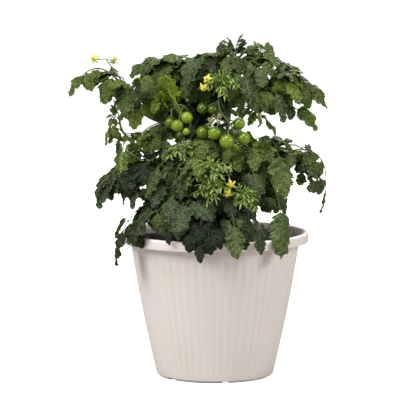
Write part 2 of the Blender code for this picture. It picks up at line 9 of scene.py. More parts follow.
import bpy
import numpy as np
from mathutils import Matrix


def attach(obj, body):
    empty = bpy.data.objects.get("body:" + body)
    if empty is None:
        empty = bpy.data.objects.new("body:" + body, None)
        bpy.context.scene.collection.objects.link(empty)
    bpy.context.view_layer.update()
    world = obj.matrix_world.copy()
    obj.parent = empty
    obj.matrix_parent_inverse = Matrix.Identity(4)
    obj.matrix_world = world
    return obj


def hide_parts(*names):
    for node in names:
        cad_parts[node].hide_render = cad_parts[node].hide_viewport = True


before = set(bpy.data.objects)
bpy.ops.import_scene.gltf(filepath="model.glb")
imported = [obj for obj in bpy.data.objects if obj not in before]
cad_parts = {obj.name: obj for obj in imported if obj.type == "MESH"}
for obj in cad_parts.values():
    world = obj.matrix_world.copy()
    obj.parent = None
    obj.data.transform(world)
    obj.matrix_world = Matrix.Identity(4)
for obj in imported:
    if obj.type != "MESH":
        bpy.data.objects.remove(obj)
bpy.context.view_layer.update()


# ---- Pot -------------------------------------------------------------------------------------------
# An injection-moulded plastic planter, warm white: a tapered wall with fine upright flutes, a rim band
# turned down over a hollow lip, a floor on a foot ring, and six drain channels moulded under it.
MM = 0.001
POT_HEIGHT, RIM_RADIUS, RIM_DROP = 217, 141, 15
FOOT_RADIUS, FOOT_HEIGHT, WALL_TOP = 87.8, 3, 200
WALL_FLARE, WALL_BULGE = 48.9, 10.2
WALL, FLOOR, CORNER = 2.8, 6, 1.2
FLUTES, FLUTE_DEPTH, COLUMNS_PER_FLUTE = 58, 1.0, 8
CHANNEL_WIDTH, CHANNEL_DEPTH, CHANNEL_START, CHANNEL_OVERRUN = 12, 3, 34, 5
DRAIN_RADIUS, DRAIN_AT, DRAINS, FIRST_DRAIN = 6, 58, 6, math.radians(41)


def shell(rings, **marks):
    """A closed skin: quads between neighbouring rings of points (rows x columns x 3) and a fan of
    triangles from the middle of the first and of the last ring. It is turned right side out if the
    volume under its faces comes out negative. Marks are values for each point of the rings."""
    rows, columns = rings.shape[:2]

    def with_poles(values):
        """Values of the rings' points, and after them the mean of the first and of the last ring."""
        return np.vstack([values.reshape(-1, 3), values[0].mean(0), values[-1].mean(0)])

    here = np.arange(rows * columns).reshape(rows, columns)
    beside = np.roll(here, -1, axis=1)
    quads = np.stack([here[:-1], beside[:-1], beside[1:], here[1:]], -1).reshape(-1, 4)
    first, last = (np.full(columns, rows * columns + pole) for pole in (0, 1))
    fans = np.vstack([np.stack([beside[0], here[0], first], -1), np.stack([here[-1], beside[-1], last], -1)])
    points = with_poles(rings)
    triangles = np.vstack([quads[:, :3], quads[:, [0, 2, 3]], fans])
    a, b, c = (points[triangles[:, i]] - points.mean(0) for i in range(3))
    if (a * np.cross(b, c)).sum() < 0:
        quads, fans = quads[:, ::-1], fans[:, ::-1]
    marks = {key: with_poles(np.broadcast_to(mark, (rows, columns, 3))) for key, mark in marks.items()}
    return {"points": points, "quads": quads, "fans": fans, "marks": marks}


def make_piece(name, skins, surface, nodes=()):
    """One object from closed skins: all their points and faces go into the mesh as whole arrays. It
    stands for its nodes of the frame and rides on the root."""
    shifts = np.cumsum([0] + [len(skin["points"]) for skin in skins[:-1]])
    points = np.vstack([skin["points"] for skin in skins]) * MM
    quads, fans = (np.vstack([skin[key] + shift for skin, shift in zip(skins, shifts)])
                   for key in ("quads", "fans"))
    starts = np.concatenate([np.arange(len(quads)) * 4, quads.size + np.arange(len(fans)) * 3])
    mesh = bpy.data.meshes.new(name)
    mesh.vertices.add(len(points))
    mesh.vertices.foreach_set("co", points.ravel())
    mesh.loops.add(quads.size + fans.size)
    mesh.loops.foreach_set("vertex_index", np.concatenate([quads.ravel(), fans.ravel()]))
    mesh.polygons.add(len(starts))
    mesh.polygons.foreach_set("loop_start", starts)
    mesh.polygons.foreach_set("use_smooth", np.ones(len(starts), bool))
    for key in skins[0]["marks"]:
        values = np.vstack([skin["marks"][key] for skin in skins])
        mesh.attributes.new(key, "FLOAT_VECTOR", "POINT").data.foreach_set("vector", values.ravel())
    mesh.update(calc_edges=True)
    mesh.materials.append(surface)
    made = bpy.data.objects.new(name, mesh)
    bpy.context.scene.collection.objects.link(made)
    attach(made, "root")
    if nodes:
        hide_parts(*nodes)
    return made


def rounded(corners, radius):
    """A broken line with its corners rounded: each inner corner gives way to a short quadratic curve
    that starts and ends a radius away from it, or less where a side is short. A corner that hardly
    turns keeps one point."""
    corners = np.array(corners, float)
    sides = np.diff(corners, axis=0)
    lengths = np.linalg.norm(sides, axis=1, keepdims=True)
    reach = np.minimum(radius, 0.45 * np.minimum(lengths[:-1], lengths[1:]))
    before = corners[1:-1] - sides[:-1] / lengths[:-1] * reach
    after = corners[1:-1] + sides[1:] / lengths[1:] * reach
    t = np.linspace(0, 1, 4)[:, None, None]
    curve = (1 - t) ** 2 * before + 2 * (1 - t) * t * corners[1:-1] + t * t * after
    heading = sides / lengths
    keep = np.ones((len(before), 4), bool)
    keep[(heading[:-1] * heading[1:]).sum(-1) > 0.995, 1:] = False
    return np.vstack([corners[:1], curve.transpose(1, 0, 2)[keep], corners[-1:]])


def wall_radius(z):
    """The outer radius of the tapered wall at a height: a straight flare that slows a little."""
    t = (z - FOOT_HEIGHT) / (WALL_TOP - FOOT_HEIGHT)
    return FOOT_RADIUS + WALL_FLARE * t - WALL_BULGE * t * t


def step(value, low, high):
    """0 below low, 1 above high, and a smooth rise between them."""
    t = np.clip((value - low) / (high - low), 0, 1)
    return t * t * (3 - 2 * t)


def rings_of(radius, height, turn):
    """Rings round the upright axis: each point lies out along its turn by its radius, at its height."""
    return np.stack(np.broadcast_arrays(radius * np.cos(turn), radius * np.sin(turn), height), -1)


def pot_skin():
    """The pot's outline carried round its axis. Between foot and rim the outer wall is pushed in by
    flutes, a raised cosine of the angle that fades out below the rim and above the foot."""
    low, top = FOOT_RADIUS - 3.5, wall_radius(WALL_TOP)
    rise = np.concatenate([np.linspace(FOOT_HEIGHT + 2, 22, 7), np.linspace(40, 166, 6),
                           np.linspace(182, WALL_TOP - 2, 7)])
    drop = np.linspace(WALL_TOP - 2, FLOOR + 14, 8)
    corners = [(4, 0), (30, 0), (60, 0), (low, 0), (low, FOOT_HEIGHT), (FOOT_RADIUS, FOOT_HEIGHT)]
    corners += list(zip(wall_radius(rise), rise))
    corners += [(top, WALL_TOP), (top + 1.8, WALL_TOP + 8), (RIM_RADIUS - 10, POT_HEIGHT - 4.5),
                (RIM_RADIUS - 6, POT_HEIGHT - 3.2), (RIM_RADIUS - 2.9, POT_HEIGHT - 6),
                (RIM_RADIUS - 3.1, POT_HEIGHT - RIM_DROP + 0.8), (RIM_RADIUS - 1.3, POT_HEIGHT - RIM_DROP),
                (RIM_RADIUS - 0.5, POT_HEIGHT - RIM_DROP + 1), (RIM_RADIUS, POT_HEIGHT - 2),
                (RIM_RADIUS - 2, POT_HEIGHT), (RIM_RADIUS - 6, POT_HEIGHT),
                (RIM_RADIUS - 8.5, POT_HEIGHT - 1), (top + 1.4, WALL_TOP + 10)]
    corners += list(zip(wall_radius(drop) - WALL, drop))
    corners += [(low - 1.8, FLOOR), (60, FLOOR), (30, FLOOR), (4, FLOOR)]
    radius, height = rounded(corners, CORNER).T
    count = FLUTES * COLUMNS_PER_FLUTE
    turn = np.arange(count) * math.tau / count
    outer = (np.arange(len(radius)) < radius.argmax()) & (height > FOOT_HEIGHT)
    fade = outer * step(height, 9, 20) * (1 - step(height, 184, 193))
    flute = FLUTE_DEPTH * fade[:, None] * (0.5 - 0.5 * np.cos(FLUTES * turn)) ** 2.2
    return shell(rings_of(radius[:, None] - flute, height[:, None], turn))


def post(out, half_x, half_y, half_z, turn, sides):
    """A closed upright prism some way out from the pot's axis and turned round it: four sides make a
    block, and more make a round bar."""
    angle = (np.arange(sides) + 0.5) * math.tau / sides
    scale = math.sqrt(2) if sides == 4 else 1
    x, y = out + half_x * scale * np.cos(angle), half_y * scale * np.sin(angle)
    across = np.stack([x * math.cos(turn) - y * math.sin(turn), x * math.sin(turn) + y * math.cos(turn)], -1)
    return shell(np.stack([np.column_stack([across, np.full(sides, z)]) for z in (-half_z, half_z)]))


def node(tree, kind, sockets=(), **settings):
    """A shader node with its settings, each socket given a value or linked to another's output."""
    made = tree.nodes.new("ShaderNode" + kind)
    for key, value in settings.items():
        setattr(made, key, value)
    for key, value in dict(sockets).items():
        if isinstance(value, bpy.types.NodeSocket):
            tree.links.new(value, made.inputs[key])
        else:
            made.inputs[key].default_value = value
    return made


def mixed(tree, share, first, second):
    """Two colours mixed by a share from 0 to 1."""
    first, second = ((*c, 1) if isinstance(c, tuple) else c for c in (first, second))
    return node(tree, "Mix", {0: share, 6: first, 7: second}, data_type="RGBA").outputs[2]


def maths(tree, operation, first, second=0.0):
    """One operation on two values, or on one."""
    return node(tree, "Math", {0: first, 1: second}, operation=operation).outputs[0]


def eased(tree, value, low, high, at_low=0.0, at_high=1.0):
    """A value brought from one range to another on a smooth rise, and held outside it."""
    return node(tree, "MapRange", {"Value": value, "From Min": low, "From Max": high, "To Min": at_low,
                                   "To Max": at_high}, interpolation_type="SMOOTHSTEP").outputs[0]


def node_group(name, inputs, outputs):
    """An empty node group with named sockets; gives its tree, its inputs and its outputs."""
    tree = bpy.data.node_groups.new(name, "ShaderNodeTree")
    for direction, sockets in (("INPUT", inputs), ("OUTPUT", outputs)):
        for label, kind in sockets.items():
            tree.interface.new_socket(label, in_out=direction, socket_type="NodeSocket" + kind)
    return tree, tree.nodes.new("NodeGroupInput").outputs, tree.nodes.new("NodeGroupOutput").inputs


def mottle_group():
    """Uneven colour and a fine uneven surface: soft patches of a second colour, and small grain."""
    tree, given, out = node_group(
        "mottle", {"Colour": "Color", "Patches": "Color", "Amount": "Float", "Patch scale": "Float",
                   "Grain scale": "Float", "Stretch": "Float"}, {"Colour": "Color", "Height": "Float"})
    place = node(tree, "TexCoord").outputs["Object"]
    parts = node(tree, "SeparateXYZ", {0: place}).outputs
    squeezed = node(tree, "CombineXYZ", {0: parts[0], 1: parts[1],
                                         2: maths(tree, "MULTIPLY", parts[2], given["Stretch"])}).outputs[0]
    patches = node(tree, "TexNoise", {"Vector": squeezed, "Scale": given["Patch scale"], "Detail": 5.0,
                                      "Roughness": 0.6}).outputs["Fac"]
    share = maths(tree, "MULTIPLY", eased(tree, patches, 0.35, 0.7), given["Amount"])
    tree.links.new(mixed(tree, share, given["Colour"], given["Patches"]), out["Colour"])
    grain = node(tree, "TexNoise", {"Vector": place, "Scale": given["Grain scale"], "Detail": 3.0})
    tree.links.new(grain.outputs["Fac"], out["Height"])
    return tree


MOTTLE = mottle_group()


def new_material(name, constants):
    """A material whose Principled shader has these constants; gives its tree and shader as well."""
    made = bpy.data.materials.new(name)
    made.use_nodes = True
    shader = made.node_tree.nodes["Principled BSDF"]
    for key, value in constants.items():
        shader.inputs[key.replace("_", " ")].default_value = value
    return made, made.node_tree, shader


def finish(name, roughness, colours, amount, patch_scale, grain_scale, bump_mm, stretch=1.0, **constants):
    """A mottled finish: colour and grain from the mottle group, the rest set on the shader itself."""
    made, tree, shader = new_material(name, {"Roughness": roughness, **constants})
    mottle = node(tree, "Group", node_tree=MOTTLE)
    for key, value in (("Colour", (*colours[0], 1)), ("Patches", (*colours[1], 1)), ("Amount", amount),
                       ("Patch scale", patch_scale), ("Grain scale", grain_scale), ("Stretch", stretch)):
        mottle.inputs[key].default_value = value
    bump = node(tree, "Bump", {"Height": mottle.outputs["Height"], "Distance": bump_mm * MM})
    tree.links.new(mottle.outputs["Colour"], shader.inputs["Base Color"])
    tree.links.new(bump.outputs[0], shader.inputs["Normal"])
    return made, tree, shader, mottle.outputs["Colour"]


def cut_out(piece, cutters):
    """Takes closed skins out of a piece by an exact difference, and keeps the result as its mesh."""
    whole = make_piece("cutter", cutters, piece.data.materials[0])
    boolean = piece.modifiers.new("cut", "BOOLEAN")
    boolean.operation = "DIFFERENCE"
    boolean.solver = "EXACT"
    boolean.object = whole
    bpy.context.view_layer.update()
    result = bpy.data.meshes.new_from_object(piece.evaluated_get(bpy.context.evaluated_depsgraph_get()))
    piece.modifiers.clear()
    piece.data = result
    bpy.data.objects.remove(whole, do_unlink=True)
    result.set_sharp_from_angle(angle=math.radians(40))


pot_plastic = finish("pot_plastic", 0.42, [(0.83, 0.746, 0.677), (0.79, 0.706, 0.632)], 0.5, 16.0, 900.0,
                     0.05, stretch=0.25, Specular_IOR_Level=0.4)[0]
pot = make_piece("pot_moulding", [pot_skin()], pot_plastic, ["pot"])
channel_length = FOOT_RADIUS + CHANNEL_OVERRUN - CHANNEL_START
drain_turns = FIRST_DRAIN + np.arange(DRAINS) * math.tau / DRAINS
cut_out(pot, [post(CHANNEL_START + channel_length / 2, channel_length / 2, CHANNEL_WIDTH / 2, CHANNEL_DEPTH,
                   turn, 4) for turn in drain_turns])
cut_out(pot, [post(DRAIN_AT, DRAIN_RADIUS, DRAIN_RADIUS, 2 * FLOOR, turn, 24) for turn in drain_turns])


# ---- Potting mix -----------------------------------------------------------------------------------
# Dark moist compost with composted bark, filled to a finger's width below the rim and settled by
# watering: a lumpy bed with loose chips of bark lying on it.
GAP = 0.3                       # between pieces that touch
SOIL_EDGE, SOIL_CROWN = 197, 200.5
SOIL_HEAP, SOIL_FLARE = 8, 0.0028       # how high the back is heaped, and how much wider each mm makes it
SOIL_TONE = 0.12
CHIPS, CHIPS_REACH, BED_RADIUS = 640, 117, 122
soil_draw = np.random.default_rng(11)
lump_headings, lump_phases = soil_draw.uniform(0, math.tau, (2, 26))


def lumps(x, y):
    """Height of the bed's lumps: a sum of plane waves of random heading, the long ones the highest."""
    waves = np.geomspace(9, 55, 26)
    along = x[..., None] * np.cos(lump_headings) + y[..., None] * np.sin(lump_headings)
    return (np.cos(along * math.tau / waves + lump_phases) * waves ** 0.8).sum(-1) * 0.022


def heaped(y):
    """How much higher the mix lies towards the back: a smooth rise of a few millimetres."""
    return SOIL_HEAP * step(y, -60, 70)


def soil_skin():
    """Rings from the bed's middle out to the wall, lifted by the lumps, then down the wall to the
    floor and back to the axis."""
    turn = np.arange(120) * math.tau / 120
    edge = wall_radius(SOIL_EDGE) - WALL - GAP
    radius = (2 - np.linspace(2, 1, 44, endpoint=False)) * (edge - 7) + 7
    heap = heaped(radius[:, None] * np.sin(turn))
    spread = radius[:, None] * (1 + SOIL_FLARE * heap)
    x, y = spread * np.cos(turn), spread * np.sin(turn)
    crown = SOIL_EDGE + (SOIL_CROWN - SOIL_EDGE) * (1 - (radius / edge)[:, None] ** 3)
    top = crown + lumps(x, y) * (1 - step(radius, edge - 6, edge))[:, None] + heap
    depths = np.array([SOIL_EDGE - 1.0, 150, 80, FLOOR + 14, FLOOR + 0.4, FLOOR + 0.4])
    wall = wall_radius(depths) - WALL - GAP
    wall[-2:] = FOOT_RADIUS - 6, 6
    sides = rings_of(wall[:, None], depths[:, None], turn)
    return shell(np.concatenate([rings_of(spread, top, turn), sides]), chip=SOIL_TONE)


def chip_skin():
    """One chip of bark: three flat five-cornered rings, jittered, laid down at a random turn."""
    radius, height = np.array([(0.75, -0.5), (1.0, 0.0), (0.7, 0.5)]).T[..., None]
    rings = rings_of(radius, height, np.arange(5) * math.tau / 5) * soil_draw.uniform(0.7, 1.25, (3, 5, 1))
    rings *= soil_draw.uniform((1.6, 1.0, 0.7), (5.0, 2.4, 1.8))
    roll, tilt, yaw = soil_draw.normal(0, 0.35), soil_draw.normal(0, 0.3), soil_draw.uniform(0, math.tau)
    lean = np.array([[1, 0, -roll], [0, 1, -tilt], [roll, tilt, 1]])
    spin = np.array([[math.cos(yaw), -math.sin(yaw), 0], [math.sin(yaw), math.cos(yaw), 0], [0, 0, 1]])
    place = soil_draw.uniform(8 ** 2, CHIPS_REACH ** 2) ** 0.5
    angle = soil_draw.uniform(0, math.tau)
    x, y = np.array((place * math.cos(angle), place * math.sin(angle)))
    crown = (SOIL_CROWN - SOIL_EDGE) * (1 - (place / BED_RADIUS) ** 3)
    z = SOIL_EDGE + crown + float(lumps(x, y) + heaped(y)) + 0.4
    return shell(rings @ lean @ spin.T + (x, y, z), chip=soil_draw.beta(1.2, 2.6))


def channels(tree, mark):
    """The three values of a mark that a mesh carries on its points."""
    vector = node(tree, "Attribute", attribute_name=mark).outputs["Vector"]
    return node(tree, "SeparateXYZ", {0: vector}).outputs


mix, tree, shader, mottled = finish(
    "potting_mix", 0.9, [(0.040, 0.015, 0.014), (0.014, 0.006, 0.006)], 0.9, 90.0, 500.0, 1.2)
bark = mixed(tree, eased(tree, channels(tree, "chip")[0], 0.15, 0.75), mottled, (0.26, 0.11, 0.085))
tree.links.new(bark, shader.inputs["Base Color"])
make_piece("potting_mix_bed", [soil_skin()] + [chip_skin() for _ in range(CHIPS)], mix,
           ["potting_mix"])


# ---- Stems -----------------------------------------------------------------------------------------
# The main stem rooted in the mix and six side shoots grown out of it: green, faintly ridged, a little
# swollen where they fork, with a grey down of fine hairs.
MAIN_STEM = [(0, 0, 158.5), (0, 0, 200), (0, 0, 218), (4, 0, 250), (8, -1, 295), (15, -2, 345), (22, 0, 400),
             (28, 2, 445), (31, 3, 478)]
MAIN_RADII = 5.2, 1.9
TIP_SHARE = 0.985               # past this share of a stem, what grows from it sits on its end
SHOOTS = [
    ("left_upper_shoot", 0.40, [(-28, -8, 330), (-66, -14, 374), (-96, -18, 389), (-122, -20, 408),
                                (-133, -20, 436)], 3.3, 1.6),
    ("left_lower_shoot", 0.22, [(-45, -18, 285), (-90, -28, 325), (-112, -32, 344), (-137, -35, 370),
                                (-143, -36, 394)], 3.1, 1.5),
    ("right_upper_shoot", 0.62, [(38, 4, 385), (62, 4, 415), (84, 0, 438)], 2.7, 1.6),
    ("right_lower_shoot", 0.26, [(28, -14, 272), (48, -22, 305), (62, -26, 332)], 3.1, 1.8),
    ("front_shoot", 0.19, [(-4, -34, 262), (2, -58, 290), (2, -76, 312)], 2.9, 1.6),
    ("back_shoot", 0.30, [(-6, 40, 300), (-14, 66, 350), (-20, 80, 395)], 3.1, 1.6),
]


def unit(vectors):
    """Each vector divided by its length."""
    return vectors / np.linalg.norm(vectors, axis=-1, keepdims=True)


class Stem:
    """A Catmull-Rom curve through chosen points, cut into straight steps, with a radius that narrows
    evenly along it."""

    def __init__(self, points, foot_radius, end_radius, per_span):
        knots = np.array(points, float)
        knots = np.vstack([2 * knots[0] - knots[1], knots, 2 * knots[-1] - knots[-2]])
        t = (np.arange(per_span) / per_span)[:, None]
        spans = [0.5 * (2 * b + (c - a) * t + (2 * a - 5 * b + 4 * c - d) * t * t
                        + (3 * b - a - 3 * c + d) * t ** 3)
                 for a, b, c, d in zip(knots, knots[1:], knots[2:], knots[3:])]
        self.path = np.vstack(spans + [knots[-2]])
        self.along = np.append(0, np.cumsum(np.linalg.norm(np.diff(self.path, axis=0), axis=1)))
        self.foot_radius, self.end_radius = foot_radius, end_radius

    def at(self, share):
        """The point, heading and radius at a share of the length."""
        wanted = share * self.along[-1]
        i = int(np.searchsorted(self.along[:-1], wanted, side="right")) - 1
        a, b = self.path[i], self.path[i + 1]
        t = (wanted - self.along[i]) / (self.along[i + 1] - self.along[i])
        return a + (b - a) * t, unit(b - a), self.foot_radius + (self.end_radius - self.foot_radius) * share

    def start_for(self, share, toward, radius):
        """Where a branch of some radius leaves this stem's surface on its way toward a point."""
        place, along, own_radius = self.at(share)
        heading = unit(np.array(toward, float) - place)
        slant = float(heading @ along)
        if share > TIP_SHARE:
            return place + along * (GAP + radius * math.sqrt(max(0, 1 - slant ** 2)))
        reach = (own_radius + radius * abs(slant) + GAP) / math.sqrt(max(0.12, 1 - slant ** 2))
        return place + heading * reach

    def path_from(self, root, depth):
        """The path, with its foot pushed some way in toward what it grows from."""
        path = self.path.copy()
        path[0] = path[0] + unit(root - path[0]) * depth
        return path


def around(turn, right, far):
    """The directions at some turns round an axis, from one direction square to it toward another."""
    return np.cos(turn)[:, None] * right + np.sin(turn)[:, None] * far


def tube(path, radii, columns=10, ridges=0.0, smooth=3, **marks):
    """A round profile carried along a path: rings stand square to the heading and are turned as
    little as possible from one to the next. The path is first cut finer by a cubic blend."""
    path, radii = np.array(path, float), np.array(radii, float)
    knots = np.arange(len(path))
    fine = np.linspace(0, len(path) - 1, (len(path) - 1) * smooth + 1)
    slope = np.gradient(path, axis=0)
    i = np.minimum(fine.astype(int), len(path) - 2)
    t = (fine - i)[:, None]
    path = ((2 * t ** 3 - 3 * t ** 2 + 1) * path[i] + (t ** 3 - 2 * t ** 2 + t) * slope[i]
            + (3 * t ** 2 - 2 * t ** 3) * path[i + 1] + (t ** 3 - t ** 2) * slope[i + 1])
    radii = np.interp(fine, knots, radii)
    heading = unit(np.gradient(path, axis=0))
    across = np.cross(heading[0], (0.3, 0.9, 0.1))
    rights = []
    for direction in heading:
        across = across - (across @ direction) * direction
        across = across / np.linalg.norm(across)
        rights.append(across)
    right = np.array(rights)
    up = np.cross(heading, right)
    turn = np.arange(columns) * math.tau / columns
    spread = radii[:, None, None] * (1 + ridges * np.cos(5 * turn))[:, None]
    return shell(path[:, None] + spread * around(turn, right[:, None], up[:, None]), **marks)


stems = {"main_stem": Stem(MAIN_STEM, *MAIN_RADII, 2)}
for name, share, points, foot, end in SHOOTS:
    start = stems["main_stem"].start_for(share, points[0], foot)
    stems[name] = Stem([start, *points], foot, end, 3)

stem_green = finish("stem_green", 0.55, [(0.085, 0.13, 0.035), (0.05, 0.075, 0.02)], 0.8, 55.0, 700.0, 0.25,
                    stretch=0.3, Sheen_Weight=0.25, Sheen_Roughness=0.5)[0]


def stem_piece(name, path, swelling):
    """The stem's tube, a little swollen round its foot where it grows out of its parent."""
    stem = stems[name]
    radii = stem.foot_radius + (stem.end_radius - stem.foot_radius) * stem.along / stem.along[-1]
    radii = radii * (1 + swelling * np.exp(-(stem.along / 6) ** 2))
    make_piece(name + "_stalk", [tube(path, radii, columns=14, ridges=0.035, smooth=4)], stem_green,
               [name])


stem_piece("main_stem", stems["main_stem"].path, 0)
for name, share, *_ in SHOOTS:
    stem_piece(name, stems[name].path_from(stems["main_stem"].at(share)[0], 2.5), 0.35)


# ---- Fruit trusses and tomatoes --------------------------------------------------------------------
# Two trusses of unripe cherry tomatoes. Each green stalk bears short jointed stalklets, each ending in
# a star of five sepals on the shoulder of a smooth, glossy, almost round fruit.
TRUSS_RADIUS, PEDICEL_RADIUS = 1.3, 0.9
FRUIT_SQUASH = 0.93
FRUIT_TRUSSES = [
    ("left_fruit_truss", "left_upper_shoot", 0.30, [(-36, -36, 380), (-42, -46, 404), (-54, -50, 411),
                                                    (-66, -46, 402)],
     [((-42, -60, 393), 9.0, 0.58), ((-56, -66, 382), 9.0, 0.78), ((-67, -53, 385), 7.5, 1.0),
      ((-43, -66, 373), 5.5, 0.45), ((-52, -50, 367), 5.0, 0.3)]),
    ("right_fruit_truss", "main_stem", 0.70, [(10, -28, 410), (5, -46, 420), (7, -58, 404), (15, -63, 393),
                                              (24, -67, 380), (28, -67, 369)],
     [((-19, -42, 405), 8.5, 0.42), ((-3, -48, 404), 8.0, 0.5), ((-18, -58, 371), 9.8, 0.66),
      ((-1, -70, 371), 10.2, 0.70), ((17, -84, 360), 11.2, 0.86), ((35, -62, 384), 9.5, 0.74),
      ((42, -70, 363), 9.8, 0.92), ((30, -66, 350), 7.0, 1.0)]),
]
fruit_draw = np.random.default_rng(5)


def square_to(heading):
    """Two directions square to a heading and to each other."""
    first = unit(np.cross(heading, (0.2, 0.9, 0.3)))
    return first, np.cross(heading, first)


def fruit_skin(centre, radius, up):
    """A sphere flattened along its stalk axis, with a shallow round dip at the shoulder, five faint
    swellings round it, and a small pip at the blossom end. The fruit further back in the bush carry
    a mark of painted shade that darkens their green."""
    polar = np.linspace(0.05, math.pi - 0.05, 30)[:, None]
    turn = np.arange(36) * math.tau / 36
    right, far = square_to(up)
    bulge = 1 + 0.014 * np.cos(5 * turn) * np.sin(polar) * np.cos(polar / 2)
    out = radius * np.sin(polar) * bulge
    high = radius * FRUIT_SQUASH * (np.cos(polar) - 0.13 * np.exp(-(polar / 0.42) ** 2)
                                    - 0.03 * np.exp(-((math.pi - polar) / 0.12) ** 2)) + 0 * turn
    rings = centre + out[..., None] * around(turn, right, far) + high[..., None] * up
    end = (1 - np.cos(polar)) / 2 + 0 * turn
    # painted shade: the further back a fruit hangs, from y = -68 mm on, the darker it is painted, plus a
    # little at random
    shaded = np.clip(step(centre[1], -68, -42) + fruit_draw.uniform(0, 0.25), 0, 1)
    return shell(rings, fruit=np.stack([end, end * 0 + shaded, end * 0], -1))


def spoke(axis, turn):
    """The direction out from an axis at some turn round it, and the one beside that."""
    right, far = square_to(axis)
    out = right * math.cos(turn) + far * math.sin(turn)
    return out, np.cross(axis, out)


def sepal_skin(top, up, turn, length, width, lift, curl, mark=(0, 0, 0)):
    """A narrow pointed sepal: a flat oval profile carried out along an arc from the top of a fruit,
    widest at a third of its length."""
    out, side = spoke(up, turn)
    s = np.linspace(0, 1, 8)[:, None]
    angle = lift + curl * s
    run = np.arange(8)[:, None] * length / 8
    path = top + out * run * np.cos(angle) + up * run * np.sin(angle)
    normal = up * np.cos(angle) - out * np.sin(angle)
    half = width * np.sin(math.pi * np.clip(s * 0.8 + 0.14, 0, 1)) ** 0.8 / 2
    turn = np.arange(6) * math.tau / 6
    rings = path[:, None] + (half[..., None] * np.cos(turn)[:, None] * side
                             + 0.35 * np.sin(turn)[:, None] * normal[:, None])
    return shell(rings, part=mark)


def knuckle(start, end, radius):
    """A stalklet with a swollen joint past its middle, sagging a little between its ends."""
    s = np.linspace(0, 1, 9)[:, None]
    sag = np.array([0, 0, -0.06]) * np.linalg.norm(end - start)
    path = start + (end - start) * s + sag * np.sin(math.pi * s)
    radii = radius * (0.8 + 0.75 * np.exp(-((s[:, 0] - 0.6) / 0.07) ** 2) + 0.3 * s[:, 0] ** 4)
    return tube(path, radii, columns=8, smooth=2, part=(0, 0, 0))


truss_green = finish("truss_green", 0.5, [(0.09, 0.145, 0.03), (0.05, 0.085, 0.02)], 0.8, 110.0, 900.0, 0.15,
                     Sheen_Weight=0.2)[0]
fruit_green, tree, shader, mottled = finish(
    "fruit_green", 0.2, [(0.10, 0.18, 0.004), (0.185, 0.27, 0.007)], 0.5, 70.0, 300.0, 0.02,
    Specular_IOR_Level=0.45, Subsurface_Weight=0.12, Subsurface_Radius=(0.004, 0.005, 0.001),
    Subsurface_Scale=0.6, Coat_Weight=0.15, Coat_Roughness=0.06)
fruit = channels(tree, "fruit")
paler = mixed(tree, eased(tree, fruit[0], 0.35, 1.0, 0.0, 0.55), mottled, (0.35, 0.41, 0.023))
shoulder = mixed(tree, eased(tree, fruit[0], 0.0, 0.3, 0.8, 0.0), paler, (0.03, 0.07, 0.003))
# painted shade: the shaded mark darkens the skin toward a deep green
skin_with_painted_shade = mixed(tree, eased(tree, fruit[1], 0.0, 1.0, 0.0, 0.65), shoulder, (0.035, 0.075, 0.004))
tree.links.new(skin_with_painted_shade, shader.inputs["Base Color"])

for name, stem_name, share, points, fruits in FRUIT_TRUSSES:
    stem = stems[stem_name]
    start = stem.start_for(share, points[0], TRUSS_RADIUS)
    stalk = Stem([start, *points], TRUSS_RADIUS, TRUSS_RADIUS * 0.8, 2)
    path = stalk.path_from(stem.at(share)[0], 2)
    skins = [tube(path, np.linspace(1.5, 1.0, len(path)), part=(0, 0, 0))]
    for number, (centre, radius, place) in enumerate(fruits, 1):
        centre = np.array(centre, float)
        joint = stalk.at(min(place, 0.97))[0]
        up = unit(joint - centre)
        top = centre + up * radius * 0.83
        skins.append(knuckle(joint, top, PEDICEL_RADIUS))
        first = fruit_draw.uniform(0, math.tau)
        for sepal in range(5):
            turn = first + sepal * math.tau / 5 + fruit_draw.normal(0, 0.12)
            length = radius * fruit_draw.uniform(0.75, 1.0)
            skins.append(sepal_skin(top + up * 0.5, up, turn, length, radius * 0.26,
                                    fruit_draw.uniform(0.1, 0.5), fruit_draw.uniform(-0.9, 0.3)))
        fruit_name = f"tomato_{name.split('_')[0]}_{number}"
        make_piece(fruit_name + "_fruit", [fruit_skin(centre, radius, up)], fruit_green,
                   [fruit_name])
    make_piece(name + "_stalks", skins, truss_green, [name])


# ---- Flower trusses --------------------------------------------------------------------------------
# Thin green stalks that fork to small nodding flowers, each with five narrow sepals, five yellow
# petals bent back from the middle, and a pointed cone of joined anthers.
FLOWER_STALK_RADIUS, PETAL_LENGTH, PETAL_WIDTH = 0.9, 9.5, 4.2
ANTHER_RADIUS, ANTHER_LENGTH = 1.5, 7.0
PETAL_PART, ANTHER_PART = (1, 0, 0), (1, 1, 0)      # green parts are marked (0, 0, 0)
FLOWER_TRUSSES = [
    ("flower_truss_left", "left_upper_shoot", 1.0, [(-150, -20, 460), (-163, -21, 478)],
     [((-180, -26, 478), (-0.5, -0.8, 0.1)), ((-149, -24, 474), (0.6, -0.6, -0.5))]),
    ("flower_truss_top", "main_stem", 0.78, [(2, -36, 448), (-8, -66, 458)],
     [((-12, -82, 452), (-0.2, -0.9, 0.2)), ((-18, -80, 438), (-0.3, -0.9, -0.3))]),
    ("flower_truss_front", "front_shoot", 1.0, [(12, -92, 318), (20, -100, 312)],
     [((23, -112, 299), (0.1, -0.9, -0.2)), ((17, -112, 285), (-0.1, -0.9, -0.3))]),
]
flower_draw = np.random.default_rng(9)


